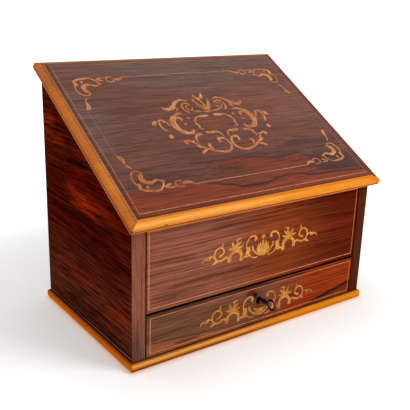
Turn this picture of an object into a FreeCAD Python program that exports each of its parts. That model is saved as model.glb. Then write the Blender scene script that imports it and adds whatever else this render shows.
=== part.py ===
import FreeCAD, Part
import math
import os
import re
import Sketcher

# Slant-top writing slope (stationery box), in millimetres.
# Frame: +X to the right seen from the front, +Y to the back, +Z up.
# The origin is the centre of the underside, between the four walls.
# The lid lies on a slope: its pieces are drawn flat in a lid frame (x, up the slope, square to it)
# whose origin is where the lid's underside meets the front of the case, and are then tilted.

SIZES = (
    ("body_width", 360.0, "case across the outside of its sides"),
    ("body_depth", 223.5, "case from front to back"),
    ("front_height", 173.7, "lid underside above the table, at the front of the case"),
    ("lid_slope", 30.4, "slope of the lid, degrees"),
    ("base_height", 11.9, "base board and its moulding"),
    ("base_overhang", 4.3, "base moulding beyond the case"),
    ("base_moulding_width", 12.0, "base moulding, from nose to base board"),
    ("base_nose", 3.6, "depth of the base moulding's round nose"),
    ("base_corner_radius", 4.0, "rounding of the base moulding's corners, seen from above"),
    ("side_thickness", 16.0, "side boards, and the stiles that face them"),
    ("stile_depth", 1.5, "facing strip on the front edge of a side board"),
    ("back_thickness", 10.0, "back board"),
    ("dust_thickness", 6.0, "board between the drawer and the upper compartment"),
    ("housing_depth", 3.0, "groove in a side board that holds the dust board"),
    ("dust_setback", 13.4, "dust board's front edge behind the front of the case"),
    ("lid_rest_gap", 0.3, "play between the closed lid and the case"),
    ("lid_thickness", 9.1, "lid board with its veneer"),
    ("veneer_thickness", 1.0, "lid veneer"),
    ("lid_moulding_width", 10.9, "lid moulding, from nose to lid board"),
    ("lid_side_overhang", 8.5, "lid beyond the sides of the case"),
    ("lid_front_overhang", 13.3, "lid beyond the front of the case, along the slope"),
    ("lid_back_overhang", 9.5, "lid beyond the back of the case, along the slope"),
    ("lid_corner_radius", 4.5, "rounding of the lid moulding's corners, seen from above"),
    ("lid_band", 2.4, "flat band along the inner edge of the lid moulding"),
    ("lid_step", 0.7, "step down from the band to the moulding's nose"),
    ("lid_nose_low", 4.4, "height of the nose's widest line"),
    ("lid_nose_foot", 2.3, "height where the nose ends at the quirk"),
    ("lid_fillet_height", 1.7, "bottom fillet of the lid moulding"),
    ("lid_fillet_inset", 0.6, "bottom fillet behind the nose"),
    ("lid_quirk", 1.8, "depth of the quirk behind the nose"),
    ("lid_undercut", 1.0, "foot of the nose behind its widest line"),
    ("lid_nose_bulge", 1.7, "how far the top of the nose stands out from its chord"),
    ("lid_under_bulge", 0.35, "how far the underside of the nose stands out from its chord"),
    ("front_thickness", 12.0, "fall and drawer front"),
    ("front_side_gap", 1.5, "play beside the fall and the drawer front"),
    ("drawer_lift", 0.4, "play under the drawer"),
    ("drawer_front_height", 51.5, "drawer front"),
    ("front_gap", 2.8, "gap between the drawer front and the fall"),
    ("fall_drop", 6.7, "fall's top edge below the lid's underside"),
    ("rail_gap", 0.8, "play between the fall and the rail above it"),
    ("rail_setback", 1.5, "lid rail behind the front of the case"),
    ("dust_gap", 0.8, "dust board above the drawer front"),
    ("pivot_setback", 4.0, "fall's pivot behind its face"),
    ("pivot_rise", 4.0, "fall's pivot above its lower edge"),
    ("pivot_radius", 1.75, "pivot pin"),
    ("pivot_reach", 5.0, "pivot pin beyond the side board"),
    ("pivot_play", 0.05, "radial play of the pivot pin in its plate"),
    ("pivot_bore_play", 0.5, "radial play of the pivot pin in the wood behind its plate"),
    ("plate_thickness", 1.5, "pivot plates"),
    ("plate_width", 8.4, "pivot plates, from front to back"),
    ("plate_front", 2.15, "pivot plate's front edge before the pivot"),
    ("plate_foot", 3.6, "pivot plate below the pivot"),
    ("plate_height", 30.0, "pivot plates, overall"),
    ("plate_arch", 2.2, "rise of a pivot plate's arched top"),
    ("lining_thickness", 1.0, "leather on the inside of the fall"),
    ("lining_margin", 14.0, "bare border round the leather"),
    ("wall_thickness", 6.0, "drawer sides and drawer back"),
    ("wall_height", 44.0, "drawer sides"),
    ("wall_side_gap", 0.5, "drawer sides behind the ends of the drawer front"),
    ("drawer_back_gap", 8.5, "closed drawer before the back board"),
    ("drawer_bottom_thickness", 3.0, "drawer bottom"),
    ("drawer_bottom_rise", 3.0, "drawer bottom above the underside of the sides"),
    ("drawer_groove", 3.0, "groove for the drawer bottom"),
    ("tail_length", 8.0, "lapped dovetails at the front of the drawer"),
    ("tail_count", 3.0, "dovetails on each drawer side"),
    ("tail_width", 9.0, "dovetail at its wide end"),
    ("tail_splay", 1.3, "dovetail's slope on each flank"),
    ("rack_front", 62.0, "rack behind the front of the case"),
    ("rack_bay", 46.0, "rack partitions, from one to the next"),
    ("rack_board", 4.0, "rack ends and partitions"),
    ("rack_drop", 44.0, "rack partitions below the lid"),
    ("rack_end_drop", 20.0, "rack ends below the lid"),
    ("rack_housing", 2.0, "groove in a rack end that holds a partition"),
    ("rack_inset", 2.0, "first partition behind the rack's front"),
    ("hinge_inset", 68.0, "middle of each lid hinge from the outside of the case"),
    ("hinge_width", 40.0, "lid hinge"),
    ("hinge_leaf", 10.5, "hinge leaf from its inner edge to the knuckle"),
    ("knuckle_count", 5.0, "knuckles along a lid hinge"),
    ("hinge_thickness", 1.5, "hinge leaf"),
    ("hinge_radius", 2.75, "hinge knuckle"),
    ("hinge_pin_radius", 1.2, "hinge pin"),
    ("hinge_play", 0.05, "radial play of the hinge pin in the knuckles"),
    ("hinge_gap", 0.35, "knuckles clear of the wood, and of each other"),
    ("hinge_face_gap", 0.05, "each leaf clear of the lid's underside plane"),
    ("screw_radius", 1.0, "wood screw"),
    ("screw_head_radius", 1.9, "wood screw's head"),
    ("screw_head_height", 1.0, "wood screw's countersunk head"),
    ("screw_length", 6.5, "wood screw, overall"),
    ("screw_play", 0.05, "play round a screw"),
    ("screw_flat_count", 8.0, "flats round a screw's head and shank"),
    ("screw_spacing", 13.0, "hinge screws, from one to the next"),
    ("screw_inset", 3.8, "hinge screws from the leaf's inner edge"),
    ("plate_screw_rise", 10.0, "lower plate screw above the pivot"),
    ("plate_screw_spacing", 10.0, "plate screws, from one to the next"),
    ("lock_axis", 43.8, "key's axis above the table"),
    ("lock_width", 36.0, "lock plate"),
    ("lock_low", 12.5, "lock below the key's axis"),
    ("lock_high", 18.5, "lock above the key's axis"),
    ("lock_plate_thickness", 1.2, "lock plate"),
    ("lock_screw_place", 15.3, "lock screws from the middle"),
    ("lock_screw_low", 9.5, "lower lock screws below the key's axis"),
    ("lock_screw_high", 13.0, "upper lock screws above the key's axis"),
    ("lock_case_width", 26.0, "lock case across"),
    ("lock_case_depth", 7.5, "lock case from its plate to its back"),
    ("lock_case_wall", 1.0, "walls of the lock case"),
    ("bolt_width", 12.0, "lock bolt"),
    ("bolt_thickness", 2.6, "lock bolt"),
    ("bolt_height", 13.7, "lock bolt"),
    ("bolt_play", 0.3, "play round the lock bolt"),
    ("bolt_travel", 5.0, "lock bolt's travel"),
    ("bolt_stand", 0.2, "withdrawn bolt above the top of the lock"),
    ("mortise_play", 1.0, "play round the bolt in its mortise"),
    ("bolt_setback", 4.3, "lock bolt behind the lock plate"),
    ("key_radius", 1.9, "key's shank"),
    ("key_play", 0.06, "radial play of the key in the lock"),
    ("keyhole_radius", 2.6, "round top of the keyhole"),
    ("keyhole_slot", 2.6, "width of the keyhole's slot"),
    ("keyhole_drop", 7.8, "keyhole's slot below the key's axis"),
    ("key_bit_width", 1.8, "key's bit"),
    ("key_bit_length", 3.2, "key's bit along the shank"),
    ("key_bit_drop", 7.0, "key's bit below the axis"),
    ("key_bit_setback", 0.9, "key's bit behind the lock plate"),
    ("key_bit_room", 1.0, "room under the key's bit in the lock case"),
    ("key_collar_radius", 3.2, "collar on the key's shank"),
    ("key_collar_length", 2.4, "collar on the key's shank"),
    ("key_collar_stand", 8.0, "collar before the drawer front"),
    ("key_bow_stand", 22.3, "middle of the key's bow before the drawer front"),
    ("key_bow_radius", 6.2, "middle line of the key's bow"),
    ("key_bow_half", 1.3, "half the thickness of the key's bow"),
    ("key_bow_chamfer", 0.9, "chamfered edges of the key's bow"),
    ("over", 5.0, "how far a cutting shape runs past the wood"),
)

# Places worked out from the sizes, each an expression on the sheet.
PLACES = {
    "front": "-body_depth / 2",
    "back": "body_depth / 2",
    "inner_side": "body_width / 2 - side_thickness",
    "front_end": "inner_side - front_side_gap",
    "front_inside": "front + front_thickness",
    "slope_rise": "tan(lid_slope)",
    "corner_cut": "1 - cos(45)",
    "drawer_low": "base_height + drawer_lift",
    "drawer_top": "drawer_low + drawer_front_height",
    "drawer_outer": "front_end - wall_side_gap",
    "drawer_inner": "drawer_outer - wall_thickness",
    "drawer_floor_low": "drawer_low + drawer_bottom_rise",
    "drawer_floor": "drawer_floor_low + drawer_bottom_thickness",
    "fall_low": "drawer_top + front_gap",
    "fall_top": "front_height - fall_drop",
    "dust_low": "drawer_top + dust_gap",
    "dust_top": "dust_low + dust_thickness",
    "dust_front": "front + dust_setback",
    "back_inside": "back - back_thickness",
    "drawer_back": "back_inside - drawer_back_gap",
    "pivot_y": "front + pivot_setback",
    "pivot_z": "fall_low + pivot_rise",
    "plate_low_y": "pivot_y - plate_front",
    "plate_middle_y": "plate_low_y + plate_width / 2",
    "plate_low_z": "pivot_z - plate_foot",
    "plate_arc": "plate_width ^ 2 / (8 * plate_arch) + plate_arch / 2",
    "base_inner_x": "body_width / 2 + base_overhang - base_moulding_width",
    "base_inner_y": "body_depth / 2 + base_overhang - base_moulding_width",
    "base_arc": "base_height ^ 2 / (8 * base_nose) + base_nose / 2",
    "lid_outer_x": "body_width / 2 + lid_side_overhang",
    "lid_inner_x": "lid_outer_x - lid_moulding_width",
    "lid_run": "body_depth / cos(lid_slope)",
    "lid_foot": "-lid_front_overhang",
    "lid_head": "lid_run + lid_back_overhang",
    "lid_inner_foot": "lid_foot + lid_moulding_width",
    "lid_inner_head": "lid_head - lid_moulding_width",
    "hinge_u": "(body_depth + hinge_radius + hinge_gap) / cos(lid_slope)",
    "leaf_edge": "hinge_u - hinge_radius - hinge_gap",
    "leaf_start": "leaf_edge - hinge_leaf",
    "screw_u": "leaf_start + screw_inset",
    "knuckle": "hinge_width / knuckle_count",
    "hinge_place": "body_width / 2 - hinge_inset",
    "rack_low_y": "front + rack_front",
    "rack_inner": "inner_side - rack_board",
    "lid_nose_high": "lid_thickness - lid_step",
    "lock_plate_back": "front_inside + lock_plate_thickness",
    "lock_case_back": "lock_plate_back + lock_case_depth",
    "lock_top": "lock_axis + lock_high",
    "lock_low_z": "lock_axis - lock_low",
    "key_bearing": "key_radius + key_play",
    "bolt_top": "lock_top + bolt_stand",
    "bolt_low": "bolt_top - bolt_height",
    "bolt_front": "front_inside + bolt_setback",
}

# Ways that a rod or screw can point: the axis and angle that turn +Z to it.
WAYS = {
    "right": ((0, 1, 0), "90"),
    "left": ((0, 1, 0), "-90"),
    "backward": ((1, 0, 0), "-90"),
    "forward": ((1, 0, 0), "90"),
    "out of lid": ((1, 0, 0), "lid_slope"),
    "into case": ((1, 0, 0), "lid_slope + 180"),
}

WORD = re.compile(r"[A-Za-z_]+")
PARTITIONS = ("front", "middle", "back")  # rack partitions, from the front

doc = FreeCAD.newDocument("WritingSlope")
sheet = doc.addObject("Spreadsheet::Sheet", "Sizes")
for row, (alias, size, meaning) in enumerate(SIZES, start=1):
    sheet.set(f"A{row}", meaning)
    sheet.set(f"B{row}", str(size))
    sheet.setAlias(f"B{row}", alias)
doc.recompute()

CELLS = {alias for alias, _, _ in SIZES}
pieces = []


def formula(text):
    """The text as an expression on the sheet, with the named places written out."""

    def swap(match):
        word = match.group(0)
        if word in PLACES:
            return f"({formula(PLACES[word])})"
        return f"Sizes.{word}" if word in CELLS else word

    return WORD.sub(swap, str(text))


def number(text):
    """The present value of a size or place."""
    return float(sheet.evalExpression(formula(text)))


def bind(item, prop, text):
    """Ties a property to the sheet."""
    item.setExpression(prop, formula(text))


def keep(piece):
    """Marks a finished sub-part, which goes to a file of its own."""
    pieces.append(piece)
    return piece


def block(label, x, y, z):
    """Rectangular board between two places along each axis."""
    board = doc.addObject("Part::Box", label)
    for prop, axis, (low, high) in zip(("Length", "Width", "Height"), "xyz", (x, y, z)):
        bind(board, prop, f"({high}) - ({low})")
        bind(board, f"Placement.Base.{axis}", low)
    return board


def aim(item, start, way):
    """Puts a shape's own axis at a start point, along one of the named ways."""
    axis, angle = WAYS[way]
    item.Placement.Rotation = FreeCAD.Rotation(FreeCAD.Vector(*axis), 1)
    bind(item, "Placement.Rotation.Angle", angle)
    for name, place in zip("xyz", start):
        bind(item, f"Placement.Base.{name}", place)
    return item


def rod(label, way, start, length, radius):
    """Round bar from a start point."""
    bar = doc.addObject("Part::Cylinder", label)
    bind(bar, "Height", length)
    bind(bar, "Radius", radius)
    return aim(bar, start, way)


def faceted_rod(label, way, start, length, radius):
    """Straight bar with many flats, from a start point."""
    bar = doc.addObject("Part::Prism", label)
    bind(bar, "Polygon", "screw_flat_count")
    bind(bar, "Height", length)
    bind(bar, "Circumradius", radius)
    return aim(bar, start, way)


def fuse(label, shapes):
    """Several shapes made one."""
    whole = doc.addObject("Part::MultiFuse", label)
    whole.Shapes = shapes
    whole.Refine = True
    return whole


def cut(label, wood, tools):
    """Wood with one or more shapes cut out of it."""
    result = doc.addObject("Part::Cut", label)
    result.Base = wood
    result.Tool = tools[0] if len(tools) == 1 else fuse(f"{label}_cutters", tools)
    return result


def mirrored(sign, low, high):
    """A range to the right of the middle, or its mirror image to the left."""
    return (low, high) if sign > 0 else (f"-({high})", f"-({low})")


def body(label, in_lid=False):
    """Empty body; in the lid's frame its drawing plane is the underside of the lid."""
    item = doc.addObject("PartDesign::Body", label)
    if in_lid:
        item.Placement.Rotation = FreeCAD.Rotation(FreeCAD.Vector(1, 0, 0), 1)
        bind(item, "Placement.Rotation.Angle", "lid_slope")
        bind(item, "Placement.Base.y", "front")
        bind(item, "Placement.Base.z", "front_height")
    return item


def arc_between(start, end, radius, turn):
    """Arc shorter than a half circle; turn is 1 for counterclockwise, -1 for clockwise."""
    chord = end - start
    middle = (start + end) / 2
    reach = math.sqrt(max(radius**2 - chord.Length**2 / 4, 0))
    left = FreeCAD.Vector(-chord.y, chord.x, 0).normalize()
    centre = middle + left * reach * turn
    ends = (start, end) if turn > 0 else (end, start)
    angles = [math.atan2((end - centre).y, (end - centre).x) for end in ends]
    if angles[1] < angles[0]:
        angles[1] += 2 * math.pi
    circle = Part.Circle(centre, FreeCAD.Vector(0, 0, 1), radius)
    return Part.ArcOfCircle(circle, *angles)


def sketch(owner, name, role, offset="0"):
    """Sketch on one of the body's own origin planes, moved along its normal."""
    plane = next(item for item in owner.Origin.OriginFeatures if item.Role == role)
    drawing = owner.newObject("Sketcher::SketchObject", name)
    drawing.AttachmentSupport = [(plane, "")]
    drawing.MapMode = "FlatFace"
    bind(drawing, "AttachmentOffset.Base.z", offset)
    return drawing


def fix(drawing, kind, run, end, text):
    """Holds one end of a run, or a centre, at a place across or up the sketch."""
    index = drawing.addConstraint(Sketcher.Constraint(kind, -1, 1, run, end, number(text)))
    bind(drawing, f"Constraints[{index}]", text)


def add_outline(drawing, corners):
    """Closed outline. A corner is (across, up), or (across, up, radius, turn) at the end of an arc."""
    places = [FreeCAD.Vector(number(corner[0]), number(corner[1]), 0) for corner in corners]
    first = drawing.GeometryCount
    count = len(corners)
    ends = []
    for index in range(count):
        start, end = places[index], places[(index + 1) % count]
        arc = corners[(index + 1) % count][2:]
        if arc:
            run = drawing.addGeometry(arc_between(start, end, number(arc[0]), arc[1]), False)
            ends.append((1, 2) if arc[1] > 0 else (2, 1))
            radius = drawing.addConstraint(Sketcher.Constraint("Radius", run, number(arc[0])))
            bind(drawing, f"Constraints[{radius}]", arc[0])
        else:
            drawing.addGeometry(Part.LineSegment(start, end), False)
            ends.append((1, 2))
    for index, corner in enumerate(corners):
        before = (index - 1) % count
        run, end = first + index, ends[index][0]
        joint = Sketcher.Constraint("Coincident", first + before, ends[before][1], run, end)
        drawing.addConstraint(joint)
        fix(drawing, "DistanceX", run, end, corner[0])
        fix(drawing, "DistanceY", run, end, corner[1])


def add_circle(drawing, across, up, radius):
    """Circle whose centre is held at a place on the sketch."""
    centre = FreeCAD.Vector(number(across), number(up), 0)
    circle = Part.Circle(centre, FreeCAD.Vector(0, 0, 1), number(radius))
    run = drawing.addGeometry(circle, False)
    index = drawing.addConstraint(Sketcher.Constraint("Radius", run, number(radius)))
    bind(drawing, f"Constraints[{index}]", radius)
    fix(drawing, "DistanceX", run, 3, across)
    fix(drawing, "DistanceY", run, 3, up)


def extrude(owner, kind, name, drawing, length, both_ways=False, back=False):
    """Pad or Pocket of a sketch."""
    feature = owner.newObject(f"PartDesign::{kind}", name)
    feature.Profile = drawing
    drawing.Visibility = False
    if both_ways:
        feature.SideType = "Symmetric"
    feature.Reversed = back
    bind(feature, "Length", length)
    return feature


def slab(label, role, corners, offset, length, in_lid=False, both_ways=False, back=False):
    """Body made by padding one outline."""
    owner = body(label, in_lid)
    drawing = sketch(owner, f"{label}_outline", role, offset)
    add_outline(drawing, corners)
    extrude(owner, "Pad", f"{label}_pad", drawing, length, both_ways, back)
    return owner


def lid_plane(y, drop="0"):
    """Height of the lid's underside plane over a place y, less a drop straight down."""
    return f"(front_height + (({y}) - (front)) * slope_rise - ({drop}))"


def on_lid(u, n):
    """Place (y, z) of a point given in the lid's frame."""
    y = f"(front + ({u}) * cos(lid_slope) - ({n}) * sin(lid_slope))"
    z = f"(front_height + ({u}) * sin(lid_slope) + ({n}) * cos(lid_slope))"
    return y, z


def rectangle(low_a, high_a, low_b, high_b):
    """Corners of a rectangle."""
    return [(low_a, low_b), (high_a, low_b), (high_a, high_b), (low_a, high_b)]


# Screws


def screw(label, start, way):
    """Wood screw with a sunk head: the head's flat face is at the start point."""
    head = faceted_rod(f"{label}_head", way, start, "screw_head_height", "screw_head_radius")
    shank = faceted_rod(f"{label}_shank", way, start, "screw_length", "screw_radius")
    return fuse(label, [head, shank])


def screw_hole(label, start, way):
    """Hole for a screw: a pilot for its shank and a wider sink for its head."""
    wide = "screw_head_radius + screw_play"
    narrow = "screw_radius + screw_play"
    sink = faceted_rod(f"{label}_sink", way, start, "screw_head_height + screw_play", wide)
    pilot = faceted_rod(f"{label}_pilot", way, start, "screw_length + screw_play", narrow)
    return fuse(label, [sink, pilot])


def screw_group(label, places):
    """Alike screws as separate solids of one sub-part."""
    group = doc.addObject("Part::Compound", label)
    group.Links = [screw(f"{label}_{index}", start, way) for index, (start, way) in enumerate(places)]
    return keep(group)


def holes_for(label, places):
    return [screw_hole(f"{label}_hole_{index}", start, way) for index, (start, way) in enumerate(places)]


# Base


def make_base():
    wide = ("-(base_inner_x)", "base_inner_x")
    deep = ("-(base_inner_y)", "base_inner_y")
    keep(block("base_board", wide, deep, ("0", "base_height")))
    for hand, sign in (("front", -1), ("back", 1)):
        make_base_moulding(hand, "YZ_Plane", "base_inner_y", "base_inner_x", sign)
    for hand, sign in (("left", -1), ("right", 1)):
        make_base_moulding(hand, "XZ_Plane", "base_inner_x", "base_inner_y", sign)


def make_base_moulding(hand, role, inner, half_run, sign):
    """Half-round strip along one edge of the base, mitred at both ends."""
    flat = f"{sign} * ({inner} + base_moulding_width - base_nose)"
    corners = [
        (f"{sign} * ({inner})", "0"),
        (flat, "0"),
        (flat, "base_height", "base_arc", sign),
        (f"{sign} * ({inner})", "base_height"),
    ]
    length = f"2 * ({half_run} + base_moulding_width)"
    strip = slab(f"base_moulding_{hand}", role, corners, "0", length, both_ways=True)
    inner_edge = f"{sign} * ({inner})"
    size = ("base_moulding_width", "base_height", "base_corner_radius")
    mitre(strip, role, inner_edge, half_run, half_run, sign, size)
    keep(strip)


def swap_axes(corner):
    """A corner with across and up exchanged, which turns an arc the other way."""
    across, up, *arc = corner
    if not arc:
        return up, across
    radius, turn = arc
    return up, across, radius, -turn


def mitre(strip, role, inner, low_run, high_run, sign, size):
    """Cuts a strip's ends at 45 degrees and rounds the outer corners of the frame.

    Its inner edge runs from -low_run to high_run. size is the strip's width, height and corner radius.
    """
    width, height, radius = size
    outer = f"{inner} + {sign} * ({width})"
    inside = f"{inner} - {sign} * over"
    outside = f"{outer} + {sign} * over"
    for end, (run, way) in enumerate(((low_run, -1), (high_run, 1))):
        corner = f"{way} * ({run} + {width})"
        near = f"{way} * ({run} - over)"
        far = f"{corner} + {way} * over"
        bend = f"{radius} * corner_cut"
        tangent = f"{corner} - {way} * {radius}"
        corners = [
            (near, inside),
            (f"{corner} - {way} * {bend}", f"{outer} - {sign} * {bend}"),
            (tangent, outer, radius, way * sign),
            (tangent, outside),
            (far, outside),
            (far, inside),
        ]
        if role == "XZ_Plane":
            corners = [swap_axes(place) for place in corners]
        name = f"{strip.Label}_mitre_{end}"
        drawing = sketch(strip, name, "XY_Plane", "-over")
        add_outline(drawing, corners)
        extrude(strip, "Pocket", f"{name}_cut", drawing, f"{height} + 2 * over", back=True)


# Case


def pocket(owner, name, role, offset, depth, outlines=(), circles=()):
    """Recess cut along the plane's normal, from outlines and circles drawn at its low side."""
    drawing = sketch(owner, name, role, offset)
    for corners in outlines:
        add_outline(drawing, corners)
    for across, up, radius in circles:
        add_circle(drawing, across, up, radius)
    return extrude(owner, "Pocket", f"{name}_cut", drawing, depth, back=True)


def sloped(low_y, high_y, low_z, drop):
    """Outline of an upright board whose top edge follows the lid."""
    return [
        (low_y, low_z),
        (high_y, low_z),
        (high_y, lid_plane(high_y, drop)),
        (low_y, lid_plane(low_y, drop)),
    ]


def make_sides():
    edge = "front + stile_depth"
    for hand, sign in (("left", -1), ("right", 1)):
        start = mirrored(sign, "inner_side", "body_width / 2")[0]
        outline = sloped(edge, "back", "base_height", "lid_rest_gap")
        board = slab(f"side_board_{hand}_plain", "YZ_Plane", outline, start, "side_thickness")
        start_housing = mirrored(sign, "inner_side", "inner_side + housing_depth")[0]
        housing = rectangle("dust_front", "back_inside", "dust_low", "dust_top")
        pocket(board, f"housing_{hand}", "YZ_Plane", start_housing, "housing_depth", [housing])
        start_plate = mirrored(sign, "inner_side", "inner_side + plate_thickness")[0]
        outline = plate_outline()
        pocket(board, f"plate_recess_{hand}", "YZ_Plane", start_plate, "plate_thickness", [outline])
        places = case_plate_screws(sign)
        keep(cut(f"side_board_{hand}", board, holes_for(f"side_board_{hand}", places)))
        stile = sloped("front", edge, "base_height", "lid_rest_gap")
        keep(slab(f"front_stile_{hand}", "YZ_Plane", stile, start, "side_thickness"))


def make_back():
    outline = sloped("back_inside", "back", "base_height", "lid_rest_gap")
    board = slab("back_board_plain", "YZ_Plane", outline, "-(inner_side)", "2 * (inner_side)")
    low = "-(hinge_face_gap + hinge_thickness)"
    leaf = [
        on_lid("leaf_start", low),
        on_lid("leaf_edge + over", low),
        on_lid("leaf_edge + over", "over"),
        on_lid("leaf_start", "over"),
    ]
    for hand, sign in (("left", -1), ("right", 1)):
        start = hinge_start(sign)
        pocket(board, f"leaf_recess_{hand}", "YZ_Plane", start, "hinge_width", [leaf])
    keep(cut("back_board", board, holes_for("back_board", leaf_screws("into case"))))


def make_dust_board():
    wide = ("-(inner_side + housing_depth)", "inner_side + housing_depth")
    deep = ("dust_front", "back_inside")
    board = block("dust_board_plain", wide, deep, ("dust_low", "dust_top"))
    half = "(bolt_width / 2 + mortise_play)"
    mortise_deep = ("bolt_front - mortise_play", "bolt_front + bolt_thickness + mortise_play")
    mortise_high = ("dust_low - over", "bolt_top + bolt_travel + mortise_play")
    mortise = block("bolt_mortise", (f"-{half}", half), mortise_deep, mortise_high)
    keep(cut("dust_board", board, [mortise]))


# Letter rack in the upper compartment


def partition_y(index):
    return f"(rack_low_y + rack_inset + {index} * rack_bay)"


def partition_top(index):
    return lid_plane(partition_y(index), "rack_drop")


def make_rack():
    for hand, sign in (("left", -1), ("right", 1)):
        start = mirrored(sign, "rack_inner", "inner_side")[0]
        outline = sloped("rack_low_y", "back_inside", "dust_top", "rack_end_drop")
        end = slab(f"rack_end_{hand}", "YZ_Plane", outline, start, "rack_board")
        start_housing = mirrored(sign, "rack_inner", "rack_inner + rack_housing")[0]
        grooves = []
        for index in range(len(PARTITIONS)):
            low = partition_y(index)
            grooves.append(rectangle(low, f"{low} + rack_board", "dust_top", partition_top(index)))
        pocket(end, f"rack_grooves_{hand}", "YZ_Plane", start_housing, "rack_housing", grooves)
        keep(end)
    half = "(rack_inner + rack_housing)"
    for index, name in enumerate(PARTITIONS):
        low = partition_y(index)
        deep = (low, f"{low} + rack_board")
        high = ("dust_top", partition_top(index))
        keep(block(f"rack_partition_{name}", (f"-{half}", half), deep, high))
    deep = (f"{partition_y(0)} + rack_board", partition_y(1))
    wide = ("-rack_board / 2", "rack_board / 2")
    keep(block("rack_divider", wide, deep, ("dust_top", partition_top(0))))


# Lid


def make_lid_board():
    outline = rectangle("-(lid_inner_x)", "lid_inner_x", "lid_inner_foot", "lid_inner_head")
    depth = "lid_thickness - veneer_thickness"
    board = slab("lid_board_plain", "XY_Plane", outline, "0", depth, in_lid=True)
    recess = leaf_recess("lid_inner_head + over")
    for hand, sign in (("left", -1), ("right", 1)):
        start = hinge_start(sign)
        pocket(board, f"lid_recess_{hand}", "YZ_Plane", start, "hinge_width", [recess])
    keep(cut("lid_board", board, holes_for("lid_board", leaf_screws("out of lid"))))
    sheet_of_wood = slab("lid_veneer", "XY_Plane", outline, depth, "veneer_thickness", in_lid=True)
    keep(sheet_of_wood)


def leaf_recess(far):
    """Recess in the lid's underside for a hinge leaf, in the lid's frame."""
    return rectangle("leaf_start", far, "-over", "hinge_face_gap + hinge_thickness")


def lid_profile(inner, sign):
    """Section of the lid moulding, from its inner edge outward: band, nose, quirk and fillet."""

    def out(distance):
        return f"{inner} + {sign} * ({distance})"

    chord_top = "((lid_moulding_width - lid_band) ^ 2 + (lid_nose_high - lid_nose_low) ^ 2)"
    chord_under = "(lid_undercut ^ 2 + (lid_nose_low - lid_nose_foot) ^ 2)"
    return [
        (out("0"), "0"),
        (out("0"), "lid_thickness"),
        (out("lid_band"), "lid_thickness"),
        (out("lid_band"), "lid_nose_high"),
        (
            out("lid_moulding_width"),
            "lid_nose_low",
            f"{chord_top} / (8 * lid_nose_bulge) + lid_nose_bulge / 2",
            -sign,
        ),
        (
            out("lid_moulding_width - lid_undercut"),
            "lid_nose_foot",
            f"{chord_under} / (8 * lid_under_bulge) + lid_under_bulge / 2",
            -sign,
        ),
        (out("lid_moulding_width - lid_quirk"), "lid_nose_foot"),
        (out("lid_moulding_width - lid_quirk"), "lid_fillet_height"),
        (out("lid_moulding_width - lid_fillet_inset"), "lid_fillet_height"),
        (out("lid_moulding_width - lid_fillet_inset"), "0"),
    ]


def make_lid_mouldings():
    run = "2 * (lid_outer_x)"
    size = ("lid_moulding_width", "lid_thickness", "lid_corner_radius")
    for hand, sign, inner in (("front", -1, "lid_inner_foot"), ("back", 1, "lid_inner_head")):
        label = f"lid_moulding_{hand}"
        corners = lid_profile(inner, sign)
        strip = slab(label, "YZ_Plane", corners, "-(lid_outer_x)", run, in_lid=True)
        sides = "lid_inner_x"
        mitre(strip, "YZ_Plane", inner, sides, sides, sign, size)
        if hand == "back":
            notch_for_hinges(strip)
        keep(strip)
    for hand, sign in (("left", -1), ("right", 1)):
        label = f"lid_moulding_{hand}"
        inner = f"{sign} * (lid_inner_x)"
        corners = lid_profile(inner, sign)
        length = "lid_head - (lid_foot)"
        strip = slab(label, "XZ_Plane", corners, "-(lid_foot)", length, in_lid=True, back=True)
        low_run = "(-(lid_inner_foot))"
        mitre(strip, "XZ_Plane", inner, low_run, "lid_inner_head", sign, size)
        keep(strip)


def notch_for_hinges(strip):
    """Room for the knuckles and the leaves in the moulding over the back of the case."""
    for hand, sign in (("left", -1), ("right", 1)):
        start = f"{hinge_start(sign)} - hinge_gap"
        length = "hinge_width + 2 * hinge_gap"
        room = [("hinge_u", "0", "hinge_radius + hinge_gap")]
        pocket(strip, f"knuckle_notch_{hand}", "YZ_Plane", start, length, circles=room)
        recess = rectangle("leaf_start", "hinge_u", "-over", "hinge_face_gap + hinge_thickness")
        pocket(strip, f"leaf_notch_{hand}", "YZ_Plane", hinge_start(sign), "hinge_width", [recess])


def make_lid_rail():
    """Rail under the lid's front edge, which closes the gap over the fall."""
    low = "front + rail_setback"
    outline = sloped(low, "front_inside", "fall_top + rail_gap", "0")
    keep(slab("lid_front_rail", "YZ_Plane", outline, "-(front_end)", "2 * (front_end)"))


# Lid hinges


def hinge_start(sign):
    return f"({sign} * hinge_place - hinge_width / 2)"


def leaf_screws(way):
    """Start points of the screws in the leaves, flush with the leaf's face that meets the other leaf."""
    height = "hinge_face_gap" if way == "out of lid" else "-hinge_face_gap"
    y, z = on_lid("screw_u", height)
    places = []
    for sign in (-1, 1):
        for step in (-1, 0, 1):
            places.append(((f"{sign} * hinge_place + {step} * screw_spacing", y, z), way))
    return places


def make_hinges():
    knuckles = int(number("knuckle_count"))
    for leaf, way, count, first in (
        ("case", "into case", (knuckles + 1) // 2, "0"),
        ("lid", "out of lid", knuckles // 2, "knuckle"),
    ):
        places = leaf_screws(way)
        for hand, sign in (("left", -1), ("right", 1)):
            label = f"lid_hinge_{leaf}_leaf_{hand}"
            plain = make_leaf(f"{label}_plain", leaf, sign, count, first)
            own = places[:3] if sign < 0 else places[3:]
            keep(cut(label, plain, holes_for(label, own)))
        screw_group(f"lid_hinge_screws_{leaf}", places)
    y, z = on_lid("hinge_u", "0")
    for hand, sign in (("left", -1), ("right", 1)):
        start = (hinge_start(sign), y, z)
        keep(rod(f"lid_hinge_pin_{hand}", "right", start, "hinge_width - hinge_gap", "hinge_pin_radius"))


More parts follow.
